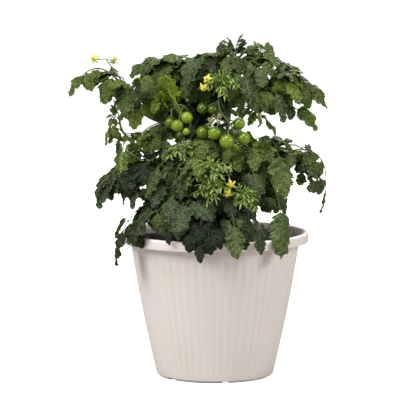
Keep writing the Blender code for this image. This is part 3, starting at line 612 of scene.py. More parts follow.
def petal_skin(centre, facing, turn, length, width, lift, curl):
    """A pointed petal: a thin profile, hollowed along its middle, carried out from the centre on an
    arc that bends back, widest before its middle."""
    out, side = spoke(facing, turn)
    s = np.linspace(0, 1, 11)[:, None]
    angle = lift + curl * s
    run = length * s
    spread = run * np.sinc(curl * s / math.pi) * math.cos(lift)
    path = centre + out * spread + facing * (run * np.sin(angle))
    normal = facing * np.cos(angle) - out * np.sin(angle)
    half = width / 2 * np.sin(math.pi * np.clip(s * 0.9 + 0.09, 0, 1) ** 0.75) ** 0.9
    turn = np.arange(10) * math.tau / 10
    x = half * np.cos(turn)
    rise = 0.28 * np.abs(x) + 0.16 * np.sin(turn)
    return shell(path[:, None] + x[..., None] * side + rise[..., None] * normal[:, None], part=PETAL_PART)


def anther_skin(centre, facing):
    """The cone of anthers: a bar that narrows to a blunt point, with five shallow grooves."""
    right, far = square_to(facing)
    s = np.linspace(0, 1, 12)[:, None]
    turn = np.arange(20) * math.tau / 20
    spread = ANTHER_RADIUS * (0.75 + 0.35 * np.sin(math.pi * s ** 0.7)) * (1 - 0.72 * s ** 2.2) \
        * (1 + 0.1 * np.cos(5 * turn))
    rings = centre + facing * (ANTHER_LENGTH * s)[..., None] + spread[..., None] * around(turn, right, far)
    return shell(rings, part=ANTHER_PART)


flower_finish, tree, shader, mottled = finish(
    "petal_yellow", 0.5, [(0.17, 0.26, 0.06), (0.10, 0.17, 0.04)], 0.7, 120.0, 900.0, 0.08, Sheen_Weight=0.15)
part = channels(tree, "part")
place = node(tree, "TexCoord").outputs["Object"]
petal_tone = mixed(tree, node(tree, "TexNoise", {"Vector": place, "Scale": 350.0}).outputs["Fac"],
                   (0.62, 0.50, 0.02), (0.76, 0.70, 0.09))
yellow = mixed(tree, part[1], petal_tone, (0.62, 0.42, 0.015))
tree.links.new(mixed(tree, part[0], mottled, yellow), shader.inputs["Base Color"])

for name, stem_name, share, points, flowers in FLOWER_TRUSSES:
    stem = stems[stem_name]
    start = stem.start_for(share, points[0], FLOWER_STALK_RADIUS)
    stalk = Stem([start, *points], FLOWER_STALK_RADIUS * 1.2, FLOWER_STALK_RADIUS, 2)
    path = stalk.path_from(stem.at(share)[0], 1.5)
    skins = [tube(path, np.linspace(1.1, 0.75, len(path)), columns=8, part=(0, 0, 0))]
    fork = stalk.at(TIP_SHARE)[0]
    for centre, facing in flowers:
        centre, facing = np.array(centre, float), unit(np.array(facing, float))
        skins.append(knuckle(fork, centre - facing * 1.2, FLOWER_STALK_RADIUS * 0.8))
        first = flower_draw.uniform(0, math.tau)
        lift, curl = flower_draw.uniform(-0.05, 0.25), flower_draw.uniform(-1.0, -0.5)
        for petal in range(5):
            turn = first + petal * math.tau / 5
            skins.append(petal_skin(centre, facing, turn + flower_draw.normal(0, 0.07),
                                    PETAL_LENGTH * flower_draw.uniform(0.9, 1.05), PETAL_WIDTH, lift,
                                    curl + flower_draw.normal(0, 0.15)))
            skins.append(sepal_skin(centre - facing * 0.8, facing, turn + math.pi / 5, 7.5, 1.6, -0.15, -0.5))
        skins.append(anther_skin(centre, facing))
    make_piece(name + "_flowers", skins, flower_finish, [name])


# ---- Leaves ----------------------------------------------------------------------------------------
# Compound leaves: a downy green stalk with pairs of stalked leaflets and one at its end. A leaflet is
# a thin lobed blade that puffs up between its sunken veins, droops at its margins and curls down to
# its tip; its underside is paler and matt, with a raised midrib. New growth is small and bright.
# Name, stem, place along it, the stalk's middle, its tip, pairs of leaflets, length of the end
# leaflet, and how bright the green is: the leaf's own tone, with painted light added on lit and
# backlit leaves and painted shade, below zero, on leaves under the canopy
LEAVES = [
    ("leaf_far_left_top", "left_upper_shoot", 0.96, (-178, -22, 463), (-217, -30, 421), 3, 40, 0.15),
    ("leaf_left_top_front", "left_upper_shoot", 0.88, (-131, -44, 437), (-134, -58, 396), 1, 46, 0.1),
    ("leaf_left_top_bright", "left_upper_shoot", 0.92, (-154, -38, 446), (-166, -46, 412), 1, 36, 0.35),
    ("leaf_up_left", "main_stem", 0.90, (-60, 14, 474), (-128, 8, 450), 3, 54, 0.1),
    ("leaf_backlit", "left_upper_shoot", 0.48, (-68, -20, 420), (-70, -34, 454), 1, 44, 1.0),
    ("leaf_top_dome", "main_stem", 0.94, (-16, -26, 482), (-42, -64, 442), 2, 54, -0.05),
    ("leaf_top_front", "main_stem", 0.86, (38, -42, 462), (54, -74, 412), 2, 52, 0.0),
    ("young_leaf_top", "main_stem", 1.0, (33, 2, 500), (43, -2, 514), 3, 13, -0.4),
    ("leaf_right_top", "main_stem", 0.97, (70, 10, 484), (110, 2, 462), 3, 36, 0.0),
    ("leaf_right_arc", "right_upper_shoot", 0.96, (132, -8, 446), (167, -12, 403), 3, 44, 0.15),
    ("leaf_right_under", "main_stem", 0.68, (98, -14, 409), (152, -18, 370), 2, 46, 0.2),
    ("leaf_right_front", "right_upper_shoot", 0.70, (86, -40, 432), (104, -58, 384), 2, 48, 0.0),
    ("leaf_sprig_outer", "left_lower_shoot", 0.95, (-156, -42, 378), (-163, -46, 350), 2, 24, 0.35),
    ("leaf_hanging_bright", "left_lower_shoot", 0.82, (-136, -46, 350), (-140, -56, 310), 2, 36, 0.05),
    ("leaf_mid_left", "main_stem", 0.34, (-114, -41, 327), (-176, -44, 256), 3, 52, 0.05),
    ("leaf_low_left", "main_stem", 0.21, (-102, -58, 264), (-149, -84, 176), 3, 56, -0.05),
    ("leaf_low_left_front", "main_stem", 0.155, (-76, -74, 258), (-122, -106, 214), 2, 48, 0.25),
    ("leaf_rim_left", "main_stem", 0.28, (-34, -84, 278), (-56, -138, 222), 2, 58, 0.35),
    ("leaf_rim_middle", "main_stem", 0.145, (-18, -102, 258), (-22, -162, 190), 2, 50, -0.5),
    ("leaf_rim_lit", "main_stem", 0.24, (22, -98, 262), (30, -160, 196), 2, 54, 0.55),
    ("leaf_rim_right", "main_stem", 0.165, (50, -88, 250), (66, -148, 200), 2, 42, 0.0),
    ("leaf_right_droop", "right_lower_shoot", 0.55, (86, -76, 292), (99, -122, 191), 1, 74, 0.55),
    ("leaf_right_big", "right_lower_shoot", 0.97, (86, -48, 356), (102, -76, 275), 2, 66, 0.45),
    ("leaf_far_right", "right_lower_shoot", 0.85, (150, -34, 337), (158, -45, 248), 4, 38, 0.4),
    ("leaf_centre_droop", "front_shoot", 0.62, (-30, -82, 338), (-44, -102, 290), 2, 50, 0.4),
    ("leaf_centre_left", "left_lower_shoot", 0.42, (-74, -60, 330), (-104, -78, 276), 2, 50, 0.25),
    ("leaf_back_top", "back_shoot", 0.97, (-34, 112, 440), (-52, 150, 396), 3, 50, 0.2),
    ("leaf_back_left", "back_shoot", 0.70, (-85, 92, 372), (-138, 108, 318), 3, 50, 0.2),
    ("leaf_back_right", "back_shoot", 0.85, (48, 112, 396), (98, 132, 344), 3, 50, 0.2),
    ("leaf_back_low", "back_shoot", 0.35, (-10, 104, 304), (-14, 150, 238), 3, 50, 0.2),
    ("young_tuft_top", "main_stem", 0.82, (6, -62, 440), (2, -90, 456), 3, 20, 1.0),
    ("young_tuft_middle", "front_shoot", 0.94, (-8, -96, 318), (-8, -106, 340), 3, 20, 1.0),
    ("young_tuft_right", "front_shoot", 0.80, (34, -94, 280), (48, -108, 290), 3, 20, 0.9),
]
STALK_WIDTH = 3.2
LEAFLET_ANGLE, LEAFLET_DROOP, LEAFLET_CURL, TURN_ANGLE = (math.radians(a) for a in (62, 22, 52, 13))
PAIR_PLACES = {1: (0.84,), 2: (0.58, 0.90), 3: (0.42, 0.67, 0.92), 4: (0.34, 0.54, 0.74, 0.93)}
PAIR_SIZES = {1: (0.85,), 2: (0.74, 0.92), 3: (0.62, 0.84, 0.92), 4: (0.65, 0.85, 0.95, 0.95)}
TURN_STEPS = np.array(list(itertools.product((0, 1, -1, 2, -2), repeat=3)))
SHRINKS = (1.0, 0.8, 0.6)
LOW_SHADE_AND_AGE_DARKER = 0.45               # how much darker the leaves low on the plant are: painted shade under the canopy, and the old leaves' deeper green
SUNK = 2.0                      # how far a leaflet's stalklet starts inside the stalk
END_WIDTH, SIDE_WIDTH, FRAME_WIDTH = 0.29, 0.34, 0.33       # half widths, as shares of the length
# the second is the usual share of painted sheen, a grey green in place of light glancing off the down
LOBE_DEPTH, PAINTED_SHEEN_GREY = 0.36, 0.25
# Where a leaf differs from the rest: how wide its leaflets are and how deep their lobes, how much
# painted sheen greys its green, how long its side leaflets are, and how far it turns its face to the front
LEAF_STYLES = {
    "leaf_left_top_front": dict(width=1.35, depth=0.28),
    "leaf_backlit": dict(width=1.8, depth=0.3),
    "leaf_left_top_bright": dict(width=1.45, depth=0.5, facing=0.8),
    "leaf_far_left_top": dict(width=0.9, facing=0.7),
    "leaf_right_arc": dict(width=1.3, facing=0.8),
    "leaf_right_under": dict(width=1.0, depth=0.12, grey=0.5, sides=0.6, facing=1.0),
    "leaf_far_right": dict(width=1.1, depth=0.4, facing=0.7),
    "leaf_mid_left": dict(width=1.4, depth=0.32, facing=0.8),
    "leaf_hanging_bright": dict(width=1.5),
    "leaf_low_left_front": dict(width=1.2),
    "leaf_low_left": dict(width=0.95),
    "leaf_right_big": dict(width=1.25, depth=0.3, grey=1.1),
    "leaf_right_droop": dict(width=1.1, depth=0.42, grey=0.6, sides=0.6),
    "leaf_rim_lit": dict(depth=0.3, grey=0.9),
    "leaf_top_dome": dict(width=1.2, depth=0.3, grey=0.6),
    "leaf_up_left": dict(width=1.2, grey=0.3, facing=0.5),
    "leaf_rim_left": dict(width=1.15, depth=0.3, grey=0.7),
    "leaf_top_front": dict(grey=0.4),
    "leaf_back_right": dict(width=0.8, sides=0.7),
    "leaf_centre_droop": dict(grey=0.7),
    "leaf_right_front": dict(grey=0.4),
    "leaf_right_top": dict(grey=0.5),
}
FRAME_KEYS = np.array([(0.36, 1), (0.36, -1), (0.72, 0.72), (0.72, -0.72), (1.0, 0)])


def rotated(vectors, axis, angle):
    """Vectors turned about a unit axis: v cos a + (axis x v) sin a + axis (axis . v)(1 - cos a)."""
    angle = np.asarray(angle)[..., None]
    axis = np.broadcast_to(axis, np.broadcast_shapes(np.shape(vectors), np.shape(axis)))
    return (vectors * np.cos(angle) + np.cross(axis, vectors) * np.sin(angle)
            + axis * (axis * vectors).sum(-1, keepdims=True) * (1 - np.cos(angle)))


class Midline:
    """A leaf's stalk and midrib: a parabola from its foot through its middle to its tip, measured
    along its length; past either end it goes straight on. A leaf that reaches out sideways may be
    rolled about its heading by the angle facing, so that its upper side turns to the front."""

    def __init__(self, foot, middle, tip, facing=0.0):
        self.foot, self.middle, self.tip = np.array(foot, float), middle, np.array(tip, float)
        self.bend = 2 * np.array(middle, float) - (self.foot + self.tip) / 2
        self.shares = np.linspace(0, 1, 33)
        steps = np.diff(self.point(self.shares), axis=0)
        self.runs = np.append(0, np.cumsum(np.linalg.norm(steps, axis=1)))
        self.length = self.runs[-1]
        heading = (self.tip - self.foot) * (1, 1, 0)
        if np.linalg.norm(heading) < 1:
            heading = np.array([0, -1.0, 0])
        side = np.cross(unit(heading), (0, 0, 1))
        self.side = rotated(side, unit(heading), -facing * side[1])

    def point(self, t):
        """The parabola's points at shares of its own measure from 0 to 1."""
        t = np.asarray(t)[..., None]
        return (1 - t) ** 2 * self.foot + 2 * (1 - t) * t * self.bend + t * t * self.tip

    def frame(self, run):
        """Place, heading, sideways and upward directions at lengths along the curve."""
        run = np.asarray(run, float)
        share = np.interp(run, self.runs, self.shares)
        t = share[..., None]
        heading = unit((1 - t) * (self.bend - self.foot) + t * (self.tip - self.bend))
        side = unit(self.side - (self.side * heading).sum(-1, keepdims=True) * heading)
        past = (run - np.clip(run, 0, self.length))[..., None]
        return self.point(share) + heading * past, heading, side, np.cross(side, heading)


class Arc:
    """A leaflet's midrib: a circular arc that bends down from its foot, measured along its length."""

    def __init__(self, start, along, up, across, length, curl):
        self.start, self.along, self.up, self.across = start, along, up, across
        self.length, self.curl = length, curl

    def frame(self, run):
        """Place, heading, sideways and upward directions at lengths along the arc."""
        turn = (np.asarray(run, float) * self.curl / self.length)[..., None]
        heading = self.along * np.cos(turn) - self.up * np.sin(turn)
        bent = self.along * np.sin(turn) - self.up * (1 - np.cos(turn))
        place = self.start + bent * self.length / self.curl
        up = self.up * np.cos(turn) + self.along * np.sin(turn)
        return place, heading, np.broadcast_to(self.across, heading.shape), up


def leaflet_axes(line, place, sign, turns):
    """Where a side leaflet starts, and its heading, upward and sideways directions, for many turns of
    swing, lift and roll at once."""
    half = STALK_WIDTH / 2
    _, heading, side, up = line.frame(place)
    edges, _, sides, _ = line.frame(np.array([place - half, place + half]))
    start = (edges + sides * sign * half).mean(0)
    swing, lift, roll = (turns * TURN_ANGLE).T
    angle = (LEAFLET_ANGLE + swing)[:, None]
    along = heading * np.cos(angle) + side * sign * np.sin(angle)
    hinge = np.cross(up, along)
    droop = LEAFLET_DROOP + lift
    along, up = rotated(along, hinge, droop), rotated(np.broadcast_to(up, along.shape), hinge, droop)
    up = rotated(up, along, roll)
    return start, along, up, np.cross(up, along) * sign


def read_leaflet(line, place, sign, length, corners):
    """Finds how the frame's leaflet is turned and sized: of all turns and sizes, the one whose tip
    and sides lie nearest to the frame's own corners. Gives nothing where there is no leaflet."""
    start, along, up, across = leaflet_axes(line, place, sign, TURN_STEPS)
    best = (1.0, None)
    for shrink in SHRINKS:
        turn = LEAFLET_CURL * FRAME_KEYS[:, :1]
        size = length * shrink
        bent = along[:, None] * np.sin(turn) - up[:, None] * (1 - np.cos(turn))
        middle = start + size / LEAFLET_CURL * bent
        keys = middle + across[:, None] * FRAME_KEYS[:, 1:] * size * FRAME_WIDTH
        apart = np.linalg.norm(keys[:, :, None] - corners, axis=-1).min(-1).mean(-1)
        i = int(apart.argmin())
        if apart[i] < best[0]:
            best = (apart[i], (start, along[i], up[i], across[i], size))
    return best[1]


def blade_skin(line, foot, length, half_width, draw, bright, lobes, style, petiole=0.12):
    """A leaflet as a flattened tube round its midrib. A ring is a thin oval. Its rim reaches out by
    half the width times sin(pi sqrt(b)) ^ 0.8 for b from 0 at the blade's foot to 1 at its tip, cut in
    by lobes, and each point runs forward with its reach, as the side veins do. The ring is bent into
    an arc with its margins down, folded along the midrib, puffed up between the veins, waved along
    the margin and twisted. Before the blade starts it is a thin round stalklet."""
    per_lobe, columns = style.get("grid") or ((6, 16) if length > 34 else (6, 12) if length > 14 else (4, 8))
    half_width = half_width * style.get("width", 1.0)
    blade = np.linspace(0, 1, lobes * per_lobe + 1)
    stalk = np.linspace(-SUNK / length, petiole, 5)[:-1]
    s = np.concatenate([stalk, petiole + (1 - petiole) * blade])[:, None]
    b = np.clip((s - petiole) / (1 - petiole), 0, 1)
    turn = np.arange(columns) * math.tau / columns
    u = -np.cos(turn)
    reach_share = np.abs(u)

    # the outline, with its lobes and teeth, swept forward
    phase = lobes * b + np.where(u > 0.01, 0.5, np.where(u < -0.01, 0.0, 0.25))
    tooth = np.abs(np.sin(math.pi * phase)) ** 0.6
    depth = style.get("depth", LOBE_DEPTH) * (1 - 0.55 * b)
    lobe_size = 1 + draw.uniform(-0.13, 0.13, 2 * lobes + 4)[
        (np.floor(phase + 0.001).astype(int) + np.where(u > 0, lobes + 2, 0)) % (2 * lobes + 4)]
    saw = 1 + 0.07 * np.cos(math.pi * per_lobe * b * lobes)
    outline = np.sin(math.pi * np.sqrt(b)) ** 0.8 * (1 - depth + depth * tooth) * lobe_size * saw
    on_blade = step(b, 0.0, 0.02)
    reach = 0.55 * (1 - on_blade) + np.maximum(half_width * outline, 0.2) * on_blade
    x = reach * u
    sweep = (0.12 + 0.72 * b ** 0.6) * reach * reach_share ** 1.3 * on_blade
    run = foot + s * length + sweep
    place, _, side, up = line.frame(run)

    # the ring's own shape: bowed, folded, puffed, waved, thickened over the midrib and twisted
    bow = draw.uniform(0.35, 1.25) * (0.55 + 0.45 * b) * u
    bent = np.where(np.abs(bow) > 1e-4, bow, 1e-4)
    out = x * np.sin(bent) / bent
    drop = -reach * reach_share * (1 - np.cos(bent)) / np.abs(bent)
    fold = style.get("fold", draw.uniform(0.0, 0.35)) * reach * reach_share * (1 - 0.6 * b)
    mid = 2 * np.sqrt(np.clip(reach_share * (1 - reach_share), 0, 1))
    puff = -0.038 * length * np.cos(math.tau * (phase - 0.5)) * mid * (1 - b) ** 0.3 * (lobe_size - 0.82) * 6
    swing = math.pi * phase * draw.uniform(0.7, 1.2) + draw.uniform(0, math.tau) + (u > 0)
    wave = 0.05 * length * reach_share ** 3 * np.sin(swing) * (b < 1) * on_blade
    hook = -draw.uniform(0.0, 0.35) * length * np.clip(s - 0.5, 0, 1) ** 2
    rib = 0.45 * np.exp(-(x / 0.9) ** 2) * np.clip(1 - b, 0, 1) ** 0.6
    thick = np.where(np.sin(turn) >= 0, 0.13, 0.13 + rib) * on_blade + 0.55 * (1 - on_blade)
    lift = drop + (fold + puff + wave) * on_blade + hook
    out = out + np.sin(bow) * on_blade * thick * np.sin(turn)
    lift = lift + np.cos(bow) * thick * np.sin(turn)
    twist = draw.uniform(-0.35, 0.35) * np.clip(s, 0, 1)
    across = out * np.cos(twist) - lift * np.sin(twist)
    above = out * np.sin(twist) + lift * np.cos(twist)
    rings = place + side * across[..., None] + up * above[..., None]

    # for the leaf's colours: how far off the midrib, how far along the lobes, and which side
    under = np.where(np.abs(np.sin(turn)) < 0.01, 0.5, np.sin(turn) < 0)
    # the tone mark: the brightness, which carries painted light and painted shade, how much painted sheen
    # greys the leaflet, and whether this is stalk
    grey = np.clip(style.get("grey", PAINTED_SHEEN_GREY) + draw.uniform(-0.3, 0.3), 0, 1)
    return shell(rings, blade=np.stack(np.broadcast_arrays(x, phase, under), -1),
                 tone=np.stack(np.broadcast_arrays(bright, grey, 1 - on_blade + 0 * x), -1))


def leaf_skins(line, pairs, size, bright, draw, style, corners=None):
    """A whole leaf: its tapering stalk, its end leaflet along the midline, and its side leaflets,
    turned as in the frame, or a little at random where the frame has none. The leaves low on the
    plant are darker: painted shade under the canopy, and the old leaves' deeper green."""
    # painted shade: a leaf whose tip hangs low, under the canopy, is darkened
    bright -= LOW_SHADE_AND_AGE_DARKER * (1 - step(line.tip[2], 190, 330))
    size = min(size, 0.6 * line.length)
    stalk = line.length - size
    rings, sides = style.get("stalk", (16, 8))
    runs = np.linspace(-3, stalk + 1, rings)
    radii = 1.45 - 0.75 * np.clip(runs / stalk, 0, 1) + 0.7 * np.exp(-((runs + 1) / 4) ** 2)
    grown = min(1, max(0.45, line.length / 70))
    skins = [tube(line.frame(runs)[0], radii * grown, columns=sides, smooth=1, blade=(0, 0, 0),
                  tone=(bright * 0.6, draw.uniform(), 1.0))]
    lobes = int(np.clip(round(size / 10), 3, 5))
    end_line = Midline(line.foot, line.middle, line.tip, style["facing"]) if "facing" in style else line
    skins.append(blade_skin(end_line, stalk, size, size * END_WIDTH, draw, bright, lobes, style,
                            petiole=0.05))
    for place_share, size_share in zip(PAIR_PLACES[pairs], PAIR_SIZES[pairs]):
        place, length = place_share * stalk, size_share * size
        for sign in (1, -1):
            if corners is None:
                turns = draw.uniform(-1.5, 1.5, (1, 3)) - (0, style.get("raised", 0.0), 0)
                start, along, up, across = leaflet_axes(line, place, sign, turns)
                found = start, along[0], up[0], across[0], length
            else:
                found = read_leaflet(line, place, sign, length, corners)
            bright_here = float(np.clip(bright + draw.normal(0, 0.18), -1, 1))
            if found is None:
                continue
            start, along, up, across, grown_length = found
            grown_length *= style.get("sides", 1.0)
            arc = Arc(start, along, up, across * sign, grown_length, LEAFLET_CURL * style.get("curl", 1.0))
            lobes = int(np.clip(round(grown_length / 9), 2, 4))
            skins.append(blade_skin(arc, 0, grown_length, grown_length * SIDE_WIDTH, draw, bright_here, lobes,
                                    style))
    return skins


def leaf_group():
    """The colour, roughness and fine relief of a leaf from its marks: sunken midrib and side veins,
    puckers between them whose tops are paler, partly for their down and partly as a painted highlight,
    patches of a second green, a painted grey sheen, painted light and shade from the leaf's tone, the
    paler underside and the stalk."""
    greens = "Painted shade green", "Green", "Painted sheen green", "Bright green", "Veins", "Underside", "Stalk"
    tree, given, out = node_group("leaf_surface", dict.fromkeys(greens, "Color"),
                                  {"Colour": "Color", "Roughness": "Float", "Height": "Float"})
    place = node(tree, "TexCoord").outputs["Object"]
    blade, tone = channels(tree, "blade"), channels(tree, "tone")
    midrib = eased(tree, maths(tree, "ABSOLUTE", blade[0]), 0.3, 1.2, 1.0, 0.0)
    off_vein = maths(tree, "ABSOLUTE", maths(tree, "SUBTRACT", maths(tree, "FRACT", blade[1]), 0.5))
    side_vein = eased(tree, off_vein, 0.02, 0.10, 1.0, 0.0)
    net = node(tree, "TexVoronoi", {"Vector": place, "Scale": 210.0}, feature="DISTANCE_TO_EDGE").outputs[0]
    # painted highlight, partly the down's own paleness: the tops of the puckers are lightened toward the vein
    # colour
    painted_pucker_highlight = eased(tree, net, 0.18, 0.5)
    vein = maths(tree, "MAXIMUM", midrib, maths(tree, "MULTIPLY", side_vein, 0.85))
    patches = node(tree, "TexNoise", {"Vector": place, "Scale": 28.0, "Detail": 4.0}).outputs["Fac"]
    # the tone's first value: the leaf's own brightness; above zero it also paints the light on lit and
    # backlit leaves, and below zero the shade on leaves under the canopy
    share = maths(tree, "ADD", maths(tree, "MULTIPLY", tone[0], 0.85),
                  maths(tree, "MULTIPLY", eased(tree, patches, 0.35, 0.7), 0.1))
    base_with_painted_shade = mixed(tree, eased(tree, share, -0.3, 0.15), given["Painted shade green"], given["Green"])
    share = node(tree, "Clamp", {0: share}).outputs[0]
    # painted sheen: in patches, the grey mark mixes in a grey green in place of light glancing off the downy
    # surface
    painted_sheen = maths(tree, "MULTIPLY", tone[1], eased(tree, patches, 0.3, 0.62, 0.35, 1.0))
    green = mixed(tree, share, mixed(tree, painted_sheen, base_with_painted_shade, given["Painted sheen green"]), given["Bright green"])
    green = mixed(tree, maths(tree, "MULTIPLY", painted_pucker_highlight, 0.24), green, given["Veins"])
    veined = mixed(tree, maths(tree, "MULTIPLY", vein, 0.8), green, given["Veins"])
    pale = mixed(tree, maths(tree, "MULTIPLY", share, 0.85), given["Underside"], given["Bright green"])
    pale = mixed(tree, maths(tree, "MULTIPLY", vein, 0.4), pale, given["Veins"])
    both = mixed(tree, maths(tree, "MULTIPLY", blade[2], 0.9), veined, pale)
    # painted shade: a tone below zero darkens the whole leaf toward the painted shade green, and makes it
    # rougher
    painted_shade_share = eased(tree, tone[0], -0.8, 0.0, 0.95, 0.0)
    both = mixed(tree, tone[2], both, given["Stalk"])
    tree.links.new(mixed(tree, painted_shade_share, both, given["Painted shade green"]), out["Colour"])
    shine = maths(tree, "ADD", eased(tree, patches, 0.3, 0.7, 0.24, 0.38),
                  maths(tree, "MULTIPLY", blade[2], 0.2))
    tree.links.new(maths(tree, "ADD", shine, maths(tree, "MULTIPLY", painted_shade_share, 0.4)), out["Roughness"])
    relief = maths(tree, "SUBTRACT", eased(tree, net, 0.0, 0.4), vein)
    grain = node(tree, "TexNoise", {"Vector": place, "Scale": 1500.0}).outputs["Fac"]
    tree.links.new(maths(tree, "ADD", relief, maths(tree, "MULTIPLY", grain, 0.25)), out["Height"])
    return tree


LEAF_SURFACE = leaf_group()
VEIN_RELIEF = 1.5 * MM


def leaf_finish(name, colours, **constants):
    """A leaf material: everything that varies comes from the leaf group."""
    made, tree, shader = new_material(name, constants)
    leaf = node(tree, "Group", node_tree=LEAF_SURFACE)
    for key, colour in colours.items():
        leaf.inputs[key].default_value = (*colour, 1)
    bump = node(tree, "Bump", {"Height": leaf.outputs["Height"], "Distance": VEIN_RELIEF})
    tree.links.new(leaf.outputs["Colour"], shader.inputs["Base Color"])
    tree.links.new(leaf.outputs["Roughness"], shader.inputs["Roughness"])
    tree.links.new(bump.outputs[0], shader.inputs["Normal"])
    return made


leaf_green = leaf_finish(
    "leaf_green", {"Painted shade green": (0.003, 0.005, 0.0015), "Green": (0.012, 0.023, 0.006),
                   "Painted sheen green": (0.055, 0.085, 0.045), "Bright green": (0.19, 0.27, 0.015),
                   "Veins": (0.12, 0.165, 0.050), "Underside": (0.055, 0.078, 0.030),
                   "Stalk": (0.075, 0.11, 0.025)},
    Subsurface_Weight=0.4, Subsurface_Radius=(0.7, 1.0, 0.15), Subsurface_Scale=0.0015,
    Specular_IOR_Level=0.42, Specular_Tint=(0.9, 1.0, 0.7, 1), Sheen_Weight=0.02, Sheen_Roughness=0.4,
    Sheen_Tint=(0.9, 1.0, 0.6, 1))
young_green = leaf_finish(
    "young_green", {"Painted shade green": (0.01, 0.02, 0.004), "Green": (0.060, 0.12, 0.012),
                    "Painted sheen green": (0.15, 0.27, 0.08), "Bright green": (0.26, 0.46, 0.035),
                    "Veins": (0.38, 0.52, 0.14), "Underside": (0.20, 0.31, 0.07),
                    "Stalk": (0.22, 0.33, 0.05)},
    Specular_IOR_Level=0.5, Specular_Tint=(0.95, 1.0, 0.7, 1), Sheen_Weight=0.1, Sheen_Roughness=0.5,
    Sheen_Tint=(0.9, 1.0, 0.7, 1))
# painted backlight: the leaves lit from behind get much paler greens, veins and underside than the rest, on
# top of a real glow of light through the thin blade from the subsurface
thin_painted_backlight_green = leaf_finish(
    "thin_painted_backlight_green", {"Painted shade green": (0.01, 0.02, 0.004), "Green": (0.038, 0.08, 0.006),
                   "Painted sheen green": (0.07, 0.12, 0.02), "Bright green": (0.20, 0.33, 0.02),
                   "Veins": (0.40, 0.48, 0.14), "Underside": (0.20, 0.30, 0.04), "Stalk": (0.16, 0.22, 0.04)},
    Subsurface_Weight=0.5, Subsurface_Radius=(0.8, 1.0, 0.1), Subsurface_Scale=0.003,
    Specular_IOR_Level=0.4, Specular_Tint=(0.95, 1.0, 0.7, 1))
PAINTED_BACKLIGHT_LEAVES = "leaf_backlit", "leaf_hanging_bright"


def corners_of(name):
    """The points of a node of the frame, in millimetres."""
    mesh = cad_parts[name].data
    places = np.empty(len(mesh.vertices) * 3, np.float32)
    mesh.vertices.foreach_get("co", places)
    return np.unique(places.reshape(-1, 3).round(6), axis=0) / MM


def leaf_line(stem_name, share, middle, tip, facing=0.0):
    """The midline of a leaf that grows from a stem at a share of its length."""
    return Midline(stems[stem_name].start_for(share, middle, STALK_WIDTH / 2), middle, tip, facing)


for number, (name, stem_name, share, middle, tip, pairs, size, bright) in enumerate(LEAVES):
    draw = np.random.default_rng([21, number])
    skins = leaf_skins(leaf_line(stem_name, share, middle, tip), pairs, size, bright, draw,
                       LEAF_STYLES.get(name, {}), corners_of(name))
    young = name.startswith("young")
    surface = young_green if young else thin_painted_backlight_green if name in PAINTED_BACKLIGHT_LEAVES else leaf_green
    make_piece(name + "_blades", skins, surface, [name])
